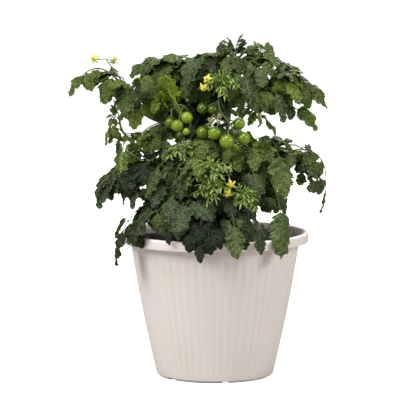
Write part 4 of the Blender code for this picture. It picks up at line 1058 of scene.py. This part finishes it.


# ---- Smaller leaves between the others -------------------------------------------------------------
# The leaves that close the bush between the frame's own: the same compound leaves, one piece for
# those of each stem, and three for the main stem's. Stem, place along it, the stalk's middle, its tip,
# pairs of leaflets, length of the end leaflet, and how bright the green is, which below zero is
# painted shade, as on the leaves over the rim
INNER_LEAVES = [
    # the left arm's top
    ("left_upper_shoot", 0.60, (-92, -30, 448), (-108, -46, 422), 2, 40, 0.3),
    ("left_upper_shoot", 0.97, (-150, -36, 452), (-163, -50, 411), 1, 44, 0.4),
    ("left_upper_shoot", 0.80, (-116, -34, 410), (-121, -46, 374), 1, 34, 0.7),
    ("left_upper_shoot", 0.62, (-85, -34, 418), (-92, -46, 398), 1, 26, 0.6),
    ("left_upper_shoot", 0.42, (-70, 10, 440), (-90, 20, 405), 2, 40, 0.05),
    ("left_upper_shoot", 0.55, (-90, 20, 436), (-118, 36, 402), 3, 40, 0.1),
    # the crown
    ("main_stem", 0.88, (-26, -24, 456), (-42, -48, 424), 2, 40, 0.05),
    ("main_stem", 0.80, (-30, -30, 440), (-45, -40, 412), 2, 36, -0.1),
    ("main_stem", 0.95, (24, -30, 486), (14, -62, 452), 2, 42, -0.05),
    ("main_stem", 0.92, (58, -28, 474), (70, -60, 438), 3, 36, -0.25),
    ("main_stem", 0.98, (62, -10, 492), (94, -24, 466), 3, 34, 0.1),
    ("main_stem", 0.98, (16, 0, 500), (2, -2, 484), 3, 19, -0.25),
    ("main_stem", 1.0, (28, 0, 494), (18, -2, 508), 3, 13, -0.25),
    ("main_stem", 1.0, (36, 4, 494), (48, 2, 500), 3, 15, -0.25),
    ("main_stem", 0.99, (24, -10, 490), (10, -22, 492), 3, 15, -0.15),
    ("main_stem", 0.80, (44, -44, 440), (62, -66, 402), 2, 40, -0.05),
    ("main_stem", 0.80, (60, 40, 450), (92, 62, 415), 3, 44, -0.05),
    ("main_stem", 0.74, (0, 40, 440), (-30, 64, 405), 3, 44, -0.05),
    ("main_stem", 0.62, (-20, 26, 405), (-58, 40, 376), 2, 42, -0.15),
    # the right arm's top
    ("right_upper_shoot", 1.0, (102, 8, 458), (128, 2, 456), 2, 24, 0.15),
    ("right_upper_shoot", 0.85, (100, -24, 456), (128, -44, 412), 3, 44, 0.3),
    ("right_upper_shoot", 0.92, (112, -8, 446), (142, -22, 404), 3, 40, 0.2),
    ("right_upper_shoot", 0.60, (90, 20, 425), (120, 28, 396), 2, 40, 0.1),
    # under the fruit
    ("left_lower_shoot", 1.0, (-147, -38, 405), (-150, -38, 418), 3, 14, 0.3),
    ("left_lower_shoot", 0.98, (-138, -40, 398), (-130, -44, 390), 2, 15, 0.2),
    ("left_lower_shoot", 0.98, (-152, -40, 392), (-158, -44, 378), 2, 18, 0.3),
    ("left_lower_shoot", 0.90, (-148, -40, 372), (-158, -44, 352), 2, 20, 0.3),
    ("left_lower_shoot", 0.88, (-128, -40, 366), (-122, -46, 350), 2, 18, 0.1),
    ("left_lower_shoot", 0.50, (-134, -42, 318), (-164, -48, 282), 2, 36, 0.0),
    ("left_lower_shoot", 0.45, (-130, -44, 312), (-156, -50, 268), 2, 38, 0.1),
    ("left_lower_shoot", 0.42, (-120, -46, 316), (-138, -54, 262), 2, 36, 0.0),
    ("left_lower_shoot", 0.55, (-144, -44, 312), (-175, -48, 284), 2, 30, 0.0),
    ("left_lower_shoot", 0.52, (-152, -40, 302), (-178, -44, 270), 3, 28, -0.1),
    ("left_lower_shoot", 0.30, (-104, -52, 296), (-124, -60, 256), 2, 32, 0.05),
    ("left_lower_shoot", 0.62, (-104, -40, 368), (-112, -48, 345), 2, 24, 0.3),
    ("left_lower_shoot", 0.35, (-66, -44, 350), (-80, -58, 330), 2, 36, 0.2),
    ("left_lower_shoot", 0.50, (-84, -46, 366), (-96, -58, 338), 2, 32, 0.15),
    ("left_lower_shoot", 0.30, (-72, -56, 310), (-92, -84, 262), 2, 48, 0.0),
    ("main_stem", 0.50, (-10, -50, 362), (-26, -76, 326), 2, 44, 0.12),
    ("main_stem", 0.48, (30, -48, 352), (34, -76, 314), 2, 44, 0.25),
    ("right_lower_shoot", 0.75, (60, -56, 350), (56, -82, 316), 2, 44, 0.3),
    ("right_lower_shoot", 0.98, (64, -34, 360), (84, -46, 346), 1, 28, 0.35),
    ("right_lower_shoot", 0.40, (52, -70, 318), (64, -96, 276), 2, 42, 0.25),
    ("right_lower_shoot", 0.96, (92, -56, 302), (90, -66, 250), 2, 34, 0.1),
    ("main_stem", 0.55, (30, 10, 335), (24, 2, 286), 2, 44, -0.3),
    ("main_stem", 0.50, (22, 24, 330), (30, 26, 290), 2, 44, -0.3),
    ("front_shoot", 0.50, (14, -84, 290), (26, -112, 250), 2, 42, 0.25),
    ("front_shoot", 0.30, (-30, -78, 320), (-52, -100, 276), 2, 48, 0.12),
    # over the rim
    ("main_stem", 0.17, (-30, -124, 240), (-38, -153, 203), 2, 30, -0.7),
    ("main_stem", 0.15, (-10, -126, 238), (-6, -154, 200), 2, 30, -0.7),
    ("main_stem", 0.16, (-20, -122, 244), (-24, -152, 208), 2, 32, -0.6),
    ("main_stem", 0.14, (-2, -118, 236), (8, -148, 208), 2, 26, -0.6),
    ("main_stem", 0.18, (-58, -106, 242), (-68, -134, 212), 2, 22, -0.5),
    ("main_stem", 0.16, (30, -112, 236), (44, -142, 206), 2, 24, -0.5),
    # over the mix
    ("main_stem", 0.24, (-50, -70, 280), (-70, -108, 232), 2, 52, 0.0),
    ("main_stem", 0.20, (-16, -76, 272), (-14, -120, 226), 2, 48, -0.2),
    ("main_stem", 0.22, (28, -74, 268), (40, -118, 222), 2, 48, -0.1),
    ("main_stem", 0.30, (-60, 50, 300), (-100, 80, 250), 3, 50, 0.1),
    ("main_stem", 0.28, (50, 62, 292), (74, 96, 244), 3, 46, 0.1),
    # the back
    ("back_shoot", 1.0, (10, 112, 440), (44, 140, 400), 3, 46, 0.2),
    ("back_shoot", 0.60, (30, 110, 360), (60, 140, 310), 3, 46, 0.2),
    ("back_shoot", 0.50, (-50, 104, 340), (-80, 136, 285), 3, 46, 0.15),
    ("main_stem", 0.20, (-60, 74, 262), (-96, 112, 222), 2, 46, 0.15),
    ("main_stem", 0.22, (40, 80, 262), (60, 114, 224), 2, 42, 0.15),
    # the right
    ("right_lower_shoot", 1.0, (126, -42, 348), (154, -50, 288), 3, 30, 0.15),
    ("right_lower_shoot", 0.85, (74, -54, 306), (70, -66, 258), 2, 36, 0.0),
]
# Leaves held up flat to the light, with raised leaflets: the same columns, and how much painted sheen greys
# the green
FLAT_LEAVES = [
    ("main_stem", 0.94, (-6, -14, 482), (-32, -36, 464), 2, 40, 0.0, 0.8),
    ("main_stem", 0.95, (40, -16, 476), (60, -34, 460), 2, 30, -0.1, 0.5),
    ("main_stem", 0.92, (-44, 14, 477), (-92, 18, 464), 3, 42, 0.0, 0.4),
    ("main_stem", 0.91, (-62, 24, 472), (-124, 26, 452), 3, 46, 0.0, 0.3),
    ("left_upper_shoot", 0.80, (-104, 14, 452), (-74, 22, 460), 2, 44, 0.05, 0.4),
    ("left_upper_shoot", 0.98, (-152, -26, 458), (-176, -32, 450), 2, 36, 0.1, 0.2),
    ("main_stem", 0.98, (52, 0, 489), (82, -6, 478), 3, 24, -0.1, 0.4),
    ("right_upper_shoot", 1.0, (96, -6, 466), (118, -16, 462), 3, 26, -0.1, 0.4),
    ("right_upper_shoot", 0.9, (104, -18, 456), (140, -24, 446), 3, 34, 0.0, 0.5),
    ("right_lower_shoot", 1.0, (76, -34, 354), (104, -40, 342), 2, 36, 0.0, 0.8),
    ("right_lower_shoot", 0.95, (100, -34, 342), (146, -38, 326), 3, 32, 0.0, 0.5),
    ("front_shoot", 0.9, (-26, -90, 326), (-52, -102, 312), 2, 36, 0.0, 0.8),
]
# Clumps of leaves that hang inside the bush: stem, place along it, the middle of their tips and how
# far these spread, how many, pairs of leaflets, length of the end leaflet, and how bright the green is,
# mostly below zero: painted shade for the leaves deep in the bush
CLUMPS = [
    ("left_upper_shoot", 0.35, (-52, 5, 405), (30, 12, 12), 6, 2, 32, -0.45),
    ("left_upper_shoot", 0.25, (-36, 10, 380), (12, 10, 8), 2, 2, 30, -0.5),
    ("left_upper_shoot", 0.50, (-76, 5, 434), (36, 12, 14), 6, 2, 34, 0.0),
    ("left_upper_shoot", 0.75, (-112, -5, 412), (20, 14, 14), 3, 2, 32, 0.0),
    ("main_stem", 0.78, (15, 15, 405), (38, 12, 12), 6, 2, 32, -0.45),
    ("main_stem", 0.86, (5, 5, 448), (42, 16, 20), 8, 2, 32, -0.3),
    ("right_upper_shoot", 0.70, (88, 0, 430), (36, 14, 20), 7, 2, 34, 0.0),
    ("main_stem", 0.50, (-30, 0, 335), (32, 15, 18), 6, 2, 30, -0.45),
    ("main_stem", 0.45, (35, -10, 322), (32, 15, 15), 6, 2, 30, -0.35),
    ("left_lower_shoot", 0.35, (-78, -10, 330), (32, 15, 22), 7, 2, 30, -0.25),
    ("left_lower_shoot", 0.50, (-150, -44, 292), (22, 8, 18), 8, 1, 30, -0.2),
    ("main_stem", 0.32, (-40, -30, 265), (35, 20, 28), 9, 2, 32, -0.4),
    ("main_stem", 0.32, (28, -30, 262), (28, 20, 30), 8, 2, 32, -0.4),
    ("main_stem", 0.45, (18, -10, 296), (16, 14, 12), 4, 2, 32, -0.4),
    ("main_stem", 0.25, (-90, -50, 250), (20, 15, 18), 4, 2, 26, 0.1),
    ("right_lower_shoot", 0.90, (92, -40, 308), (18, 12, 26), 4, 2, 32, 0.0),
    ("right_lower_shoot", 0.95, (146, -34, 300), (14, 8, 18), 3, 2, 28, 0.05),
    ("main_stem", 0.16, (-24, -120, 216), (20, 8, 8), 5, 2, 30, -0.6),
    ("main_stem", 0.17, (-18, -136, 206), (22, 6, 8), 6, 2, 28, -0.75),
    ("main_stem", 0.52, (26, 8, 298), (16, 12, 10), 4, 2, 36, -0.3),
    ("main_stem", 0.32, (0, 66, 276), (84, 26, 26), 9, 2, 34, -0.1),
    ("main_stem", 0.50, (-10, 44, 332), (50, 16, 30), 9, 2, 34, -0.15),
    ("main_stem", 0.80, (0, 48, 436), (54, 18, 18), 7, 2, 34, 0.0),
    ("back_shoot", 0.60, (-14, 54, 388), (46, 18, 26), 8, 2, 34, 0.0),
    ("back_shoot", 0.85, (0, 84, 412), (70, 24, 22), 8, 2, 36, 0.05),
    ("back_shoot", 0.50, (0, 94, 316), (84, 24, 40), 9, 2, 36, 0.0),
]
FACING_FRONT, FACING_BACK, BACK_STARTS = 0.9, -0.6, 20
# The finer leaves have fewer points: rings for each lobe and points round a ring, for a leaflet and
# for a stalk
FILL_GRID = dict(grid=(4, 10), stalk=(8, 5))
CLUMP_GRID = dict(grid=(4, 8), stalk=(7, 4))


def turned(tip):
    """Leaves in front of the stems turn to the front, and those behind them to the back."""
    return FACING_FRONT if tip[1] < BACK_STARTS else FACING_BACK


inner_skins = {}


def gather(stem_name, share, skins):
    """Puts a leaf's skins with the others of its stem; the main stem's are kept in three lots."""
    lot = stem_name
    if stem_name == "main_stem":
        lot += "_low" if share < 0.4 else "_middle" if share < 0.7 else "_high"
    inner_skins.setdefault(lot, []).extend(skins)


# In these loops grey is a share of painted sheen, and the brightness carries painted light and painted shade.
for number, (stem_name, share, middle, tip, pairs, size, bright) in enumerate(INNER_LEAVES):
    draw = np.random.default_rng([33, number])
    style = dict(width=1.2, depth=0.3, grey=draw.uniform(0.0, 1.0), **FILL_GRID)
    gather(stem_name, share, leaf_skins(leaf_line(stem_name, share, middle, tip, turned(tip)), pairs, size,
                                        bright + draw.normal(0, 0.15), draw, style))
for number, (stem_name, share, middle, tip, pairs, size, bright, grey) in enumerate(FLAT_LEAVES):
    draw = np.random.default_rng([44, number])
    style = dict(raised=1.7, curl=0.7, width=1.2, depth=0.3, grey=grey, **FILL_GRID)
    gather(stem_name, share, leaf_skins(leaf_line(stem_name, share, middle, tip), pairs, size, bright, draw,
                                        style))
for number, (stem_name, share, centre, spread, count, pairs, size, bright) in enumerate(CLUMPS):
    draw = np.random.default_rng([55, number])
    for _ in range(count):
        place = min(share + draw.uniform(-0.06, 0.06), 1.0)
        tip = np.array(centre) + draw.uniform(-1, 1, 3) * spread
        foot = stems[stem_name].at(place)[0]
        middle = (foot + tip) / 2
        middle[2] += 6 + 0.22 * np.linalg.norm((tip - foot)[:2])
        style = dict(width=1.15, grey=draw.uniform(0.0, 1.0), **CLUMP_GRID)
        gather(stem_name, share, leaf_skins(leaf_line(stem_name, place, middle, tip, turned(tip)), pairs,
                                            size * draw.uniform(0.85, 1.15), bright + draw.normal(0, 0.2),
                                            draw, style))
for name, skins in inner_skins.items():
    make_piece(name + "_leaves", skins, leaf_green)


# ---- Young shoots ----------------------------------------------------------------------------------
# Side shoots that have just broken: a short soft stem that ends in a rosette of small bright leaves,
# the inner ones upright and the outer ones spread.
# Name, stem, place along it, the rosette's middle, its heading, leaves, their reach, size of the end
# leaflet, and how bright the green is
YOUNG_SHOOTS = [
    ("crown_rosette", "main_stem", 0.80, (7, -62, 440), (0.15, -0.45, 0.85), 30, 36, 10, 1.0),
    ("front_rosette_high", "front_shoot", 1.0, (-5, -96, 314), (-0.1, -0.4, 0.9), 26, 36, 10, 1.0),
    ("front_rosette_low", "front_shoot", 0.92, (-4, -104, 292), (-0.2, -0.8, 0.4), 22, 33, 10, 0.9),
    ("front_rosette_right", "front_shoot", 0.85, (41, -98, 278), (0.25, -0.6, 0.75), 24, 31, 10, 1.0),
    ("side_rosette", "left_lower_shoot", 0.30, (-50, -60, 343), (-0.1, -0.5, 0.85), 18, 28, 9, 1.0),
]
GOLDEN_ANGLE = math.radians(137.5)
ROSETTE_GRID = dict(grid=(3, 6), stalk=(6, 4))


def thin_stalk(way, foot_radius, end_radius, rings, **marks):
    """A thin round stalk along the whole of a midline, narrowing evenly."""
    return tube(way.frame(np.linspace(0, way.length, rings))[0], np.linspace(foot_radius, end_radius, rings),
                columns=8, smooth=2, **marks)


for number, (name, stem_name, share, centre, heading, leaves, reach, size, bright) in enumerate(YOUNG_SHOOTS):
    draw = np.random.default_rng([66, number])
    centre, heading = np.array(centre, float), unit(np.array(heading, float))
    foot = stems[stem_name].at(share)[0]
    way = Midline(foot, (foot + centre) / 2 - (0, 0, 6), centre)
    skins = [thin_stalk(way, 1.6, 1.0, 12, blade=(0, 0, 0), tone=(bright * 0.6, 0.5, 1.0))]
    for leaf in range(leaves):
        spread = (leaf + 0.5) / leaves
        turn = leaf * GOLDEN_ANGLE + draw.normal(0, 0.2)
        lean = 0.2 + 1.25 * spread + draw.normal(0, 0.1)
        onward = heading * math.cos(lean) + spoke(heading, turn)[0] * math.sin(lean)
        length = reach * (0.6 + 0.4 * spread) * draw.uniform(0.85, 1.15)
        start = centre - heading * (4 * spread)
        middle = start + onward * length * 0.55 + heading * length * 0.14
        tip = start + onward * length - np.array((0, 0, 0.2)) * length * spread
        skins += leaf_skins(Midline(start, middle, tip), 3 + leaf % 2, size * draw.uniform(0.8, 1.2),
                            bright + draw.normal(0, 0.15), draw,
                            dict(curl=draw.uniform(0.3, 1.6), width=0.62, depth=0.45, fold=0.5,
                                 grey=draw.uniform(0, 1), **ROSETTE_GRID))
    make_piece(name + "_leaves", skins, young_green)


# ---- Spent flowers ---------------------------------------------------------------------------------
# Loose clusters of flowers that have dropped their petals: stars of narrow cream and pale green
# sepals round a stub, on short jointed stalklets.
# Name, stem, place along it, the cluster's middle, and its flowers
SPENT_FLOWERS = [
    ("spent_flowers_high", "main_stem", 0.72, (-2, -64, 392), 6),
    ("spent_flowers_low", "front_shoot", 0.98, (12, -104, 318), 5),
    ("spent_flowers_side", "left_lower_shoot", 0.32, (-48, -66, 352), 5),
]
spent_green = finish("spent_green", 0.6, [(0.29, 0.34, 0.12), (0.40, 0.36, 0.18)], 0.9, 160.0, 900.0, 0.1,
                     Sheen_Weight=0.2)[0]
for number, (name, stem_name, share, centre, count) in enumerate(SPENT_FLOWERS):
    draw = np.random.default_rng([77, number])
    centre = np.array(centre, float)
    foot = stems[stem_name].at(share)[0]
    way = Midline(foot, (foot + centre) / 2 - (0, 0, 4), centre + (0, 0, 6))
    skins = [thin_stalk(way, 1.0, 0.7, 10, part=(0, 0, 0))]
    for _ in range(count):
        place = centre + draw.uniform(-1, 1, 3) * (10, 5, 9)
        joint = way.frame(way.length * draw.uniform(0.8, 1.0))[0]
        outward = unit(place - joint + (0, -6, 0))
        skins.append(knuckle(joint, place, 0.6))
        skins.append(knuckle(place, place + outward * 3, 1.1))
        first = draw.uniform(0, math.tau)
        for sepal in range(5):
            skins.append(sepal_skin(place, outward, first + sepal * math.tau / 5, draw.uniform(5, 8), 1.8,
                                    draw.uniform(0.1, 0.7), draw.uniform(-0.6, 0.6)))
    make_piece(name, skins, spent_green)


# ---- Room, light and camera ------------------------------------------------------------------------
# A plain white floor under a dim even sky, a broad lamp high on the left, and weaker ones overhead, on
# the right and behind. The floor and the sky look white but throw back only part of their light, so
# the leaves keep their dark hollows.
SKY_LIGHT, SKY_SEEN = 0.24, 1.05
FLOOR_BOUNCE, FLOOR_SEEN, FLOOR_GLOW = 0.36, 0.97, 0.86


def area_light(name, place, aim, size, power):
    """A round lamp at a place, tipped and turned until it shines toward a point."""
    light = bpy.data.lights.new(name, "AREA")
    light.shape = "DISK"
    light.size = size
    light.energy = power
    made = bpy.data.objects.new(name, light)
    made.location = place
    heading = np.array(aim, float) - np.array(place, float)
    flat = math.hypot(heading[0], heading[1])
    made.rotation_euler = (math.atan2(flat, -heading[2]), 0, math.atan2(-heading[0], heading[1]))
    bpy.context.scene.collection.objects.link(made)


area_light("key", (-2.6, -1.75, 2.35), (0, 0, 0.35), 1.7, 98)
area_light("overhead", (-0.3, -0.9, 2.6), (0, 0, 0.35), 1.4, 50)
area_light("fill", (2.6, -1.6, 1.6), (0, 0, 0.3), 1.6, 54)
area_light("behind", (0.7, 2.8, 2.0), (0, 0, 0.35), 1.6, 50)

world = bpy.data.worlds.new("surround")
world.use_nodes = True
tree = world.node_tree
seen = node(tree, "LightPath").outputs["Is Camera Ray"]
tree.nodes["Background"].inputs[0].default_value = (1, 1, 1, 1)
tree.links.new(eased(tree, seen, 0.0, 1.0, SKY_LIGHT, SKY_SEEN), tree.nodes["Background"].inputs[1])
bpy.context.scene.world = world

floor_mesh = bpy.data.meshes.new("floor")
floor_mesh.from_pydata([(-30, -30, 0), (30, -30, 0), (30, 30, 0), (-30, 30, 0)], [], [(0, 1, 2, 3)])
floor = bpy.data.objects.new("floor", floor_mesh)
bpy.context.scene.collection.objects.link(floor)
floor_white, tree, shader = new_material(
    "floor_white", {"Roughness": 1.0, "Specular IOR Level": 0.0, "Emission Color": (1, 1, 1, 1)})
seen = node(tree, "LightPath").outputs["Is Camera Ray"]
tree.links.new(mixed(tree, seen, (FLOOR_BOUNCE,) * 3, (FLOOR_SEEN,) * 3), shader.inputs["Base Color"])
tree.links.new(maths(tree, "MULTIPLY", seen, FLOOR_GLOW), shader.inputs["Emission Strength"])
floor_mesh.materials.append(floor_white)

LOOKS_DOWN = 6.4156             # degrees below level
camera = bpy.data.cameras.new("camera")
camera.lens = 271.8
camera.sensor_width = 36
viewpoint = bpy.data.objects.new("camera", camera)
viewpoint.location = (-0.0225, -4.5, 0.77)
viewpoint.rotation_euler = (math.radians(90 - LOOKS_DOWN), 0, 0)
bpy.context.scene.collection.objects.link(viewpoint)
bpy.context.scene.camera = viewpoint
bpy.context.scene.view_settings.view_transform = "Standard"
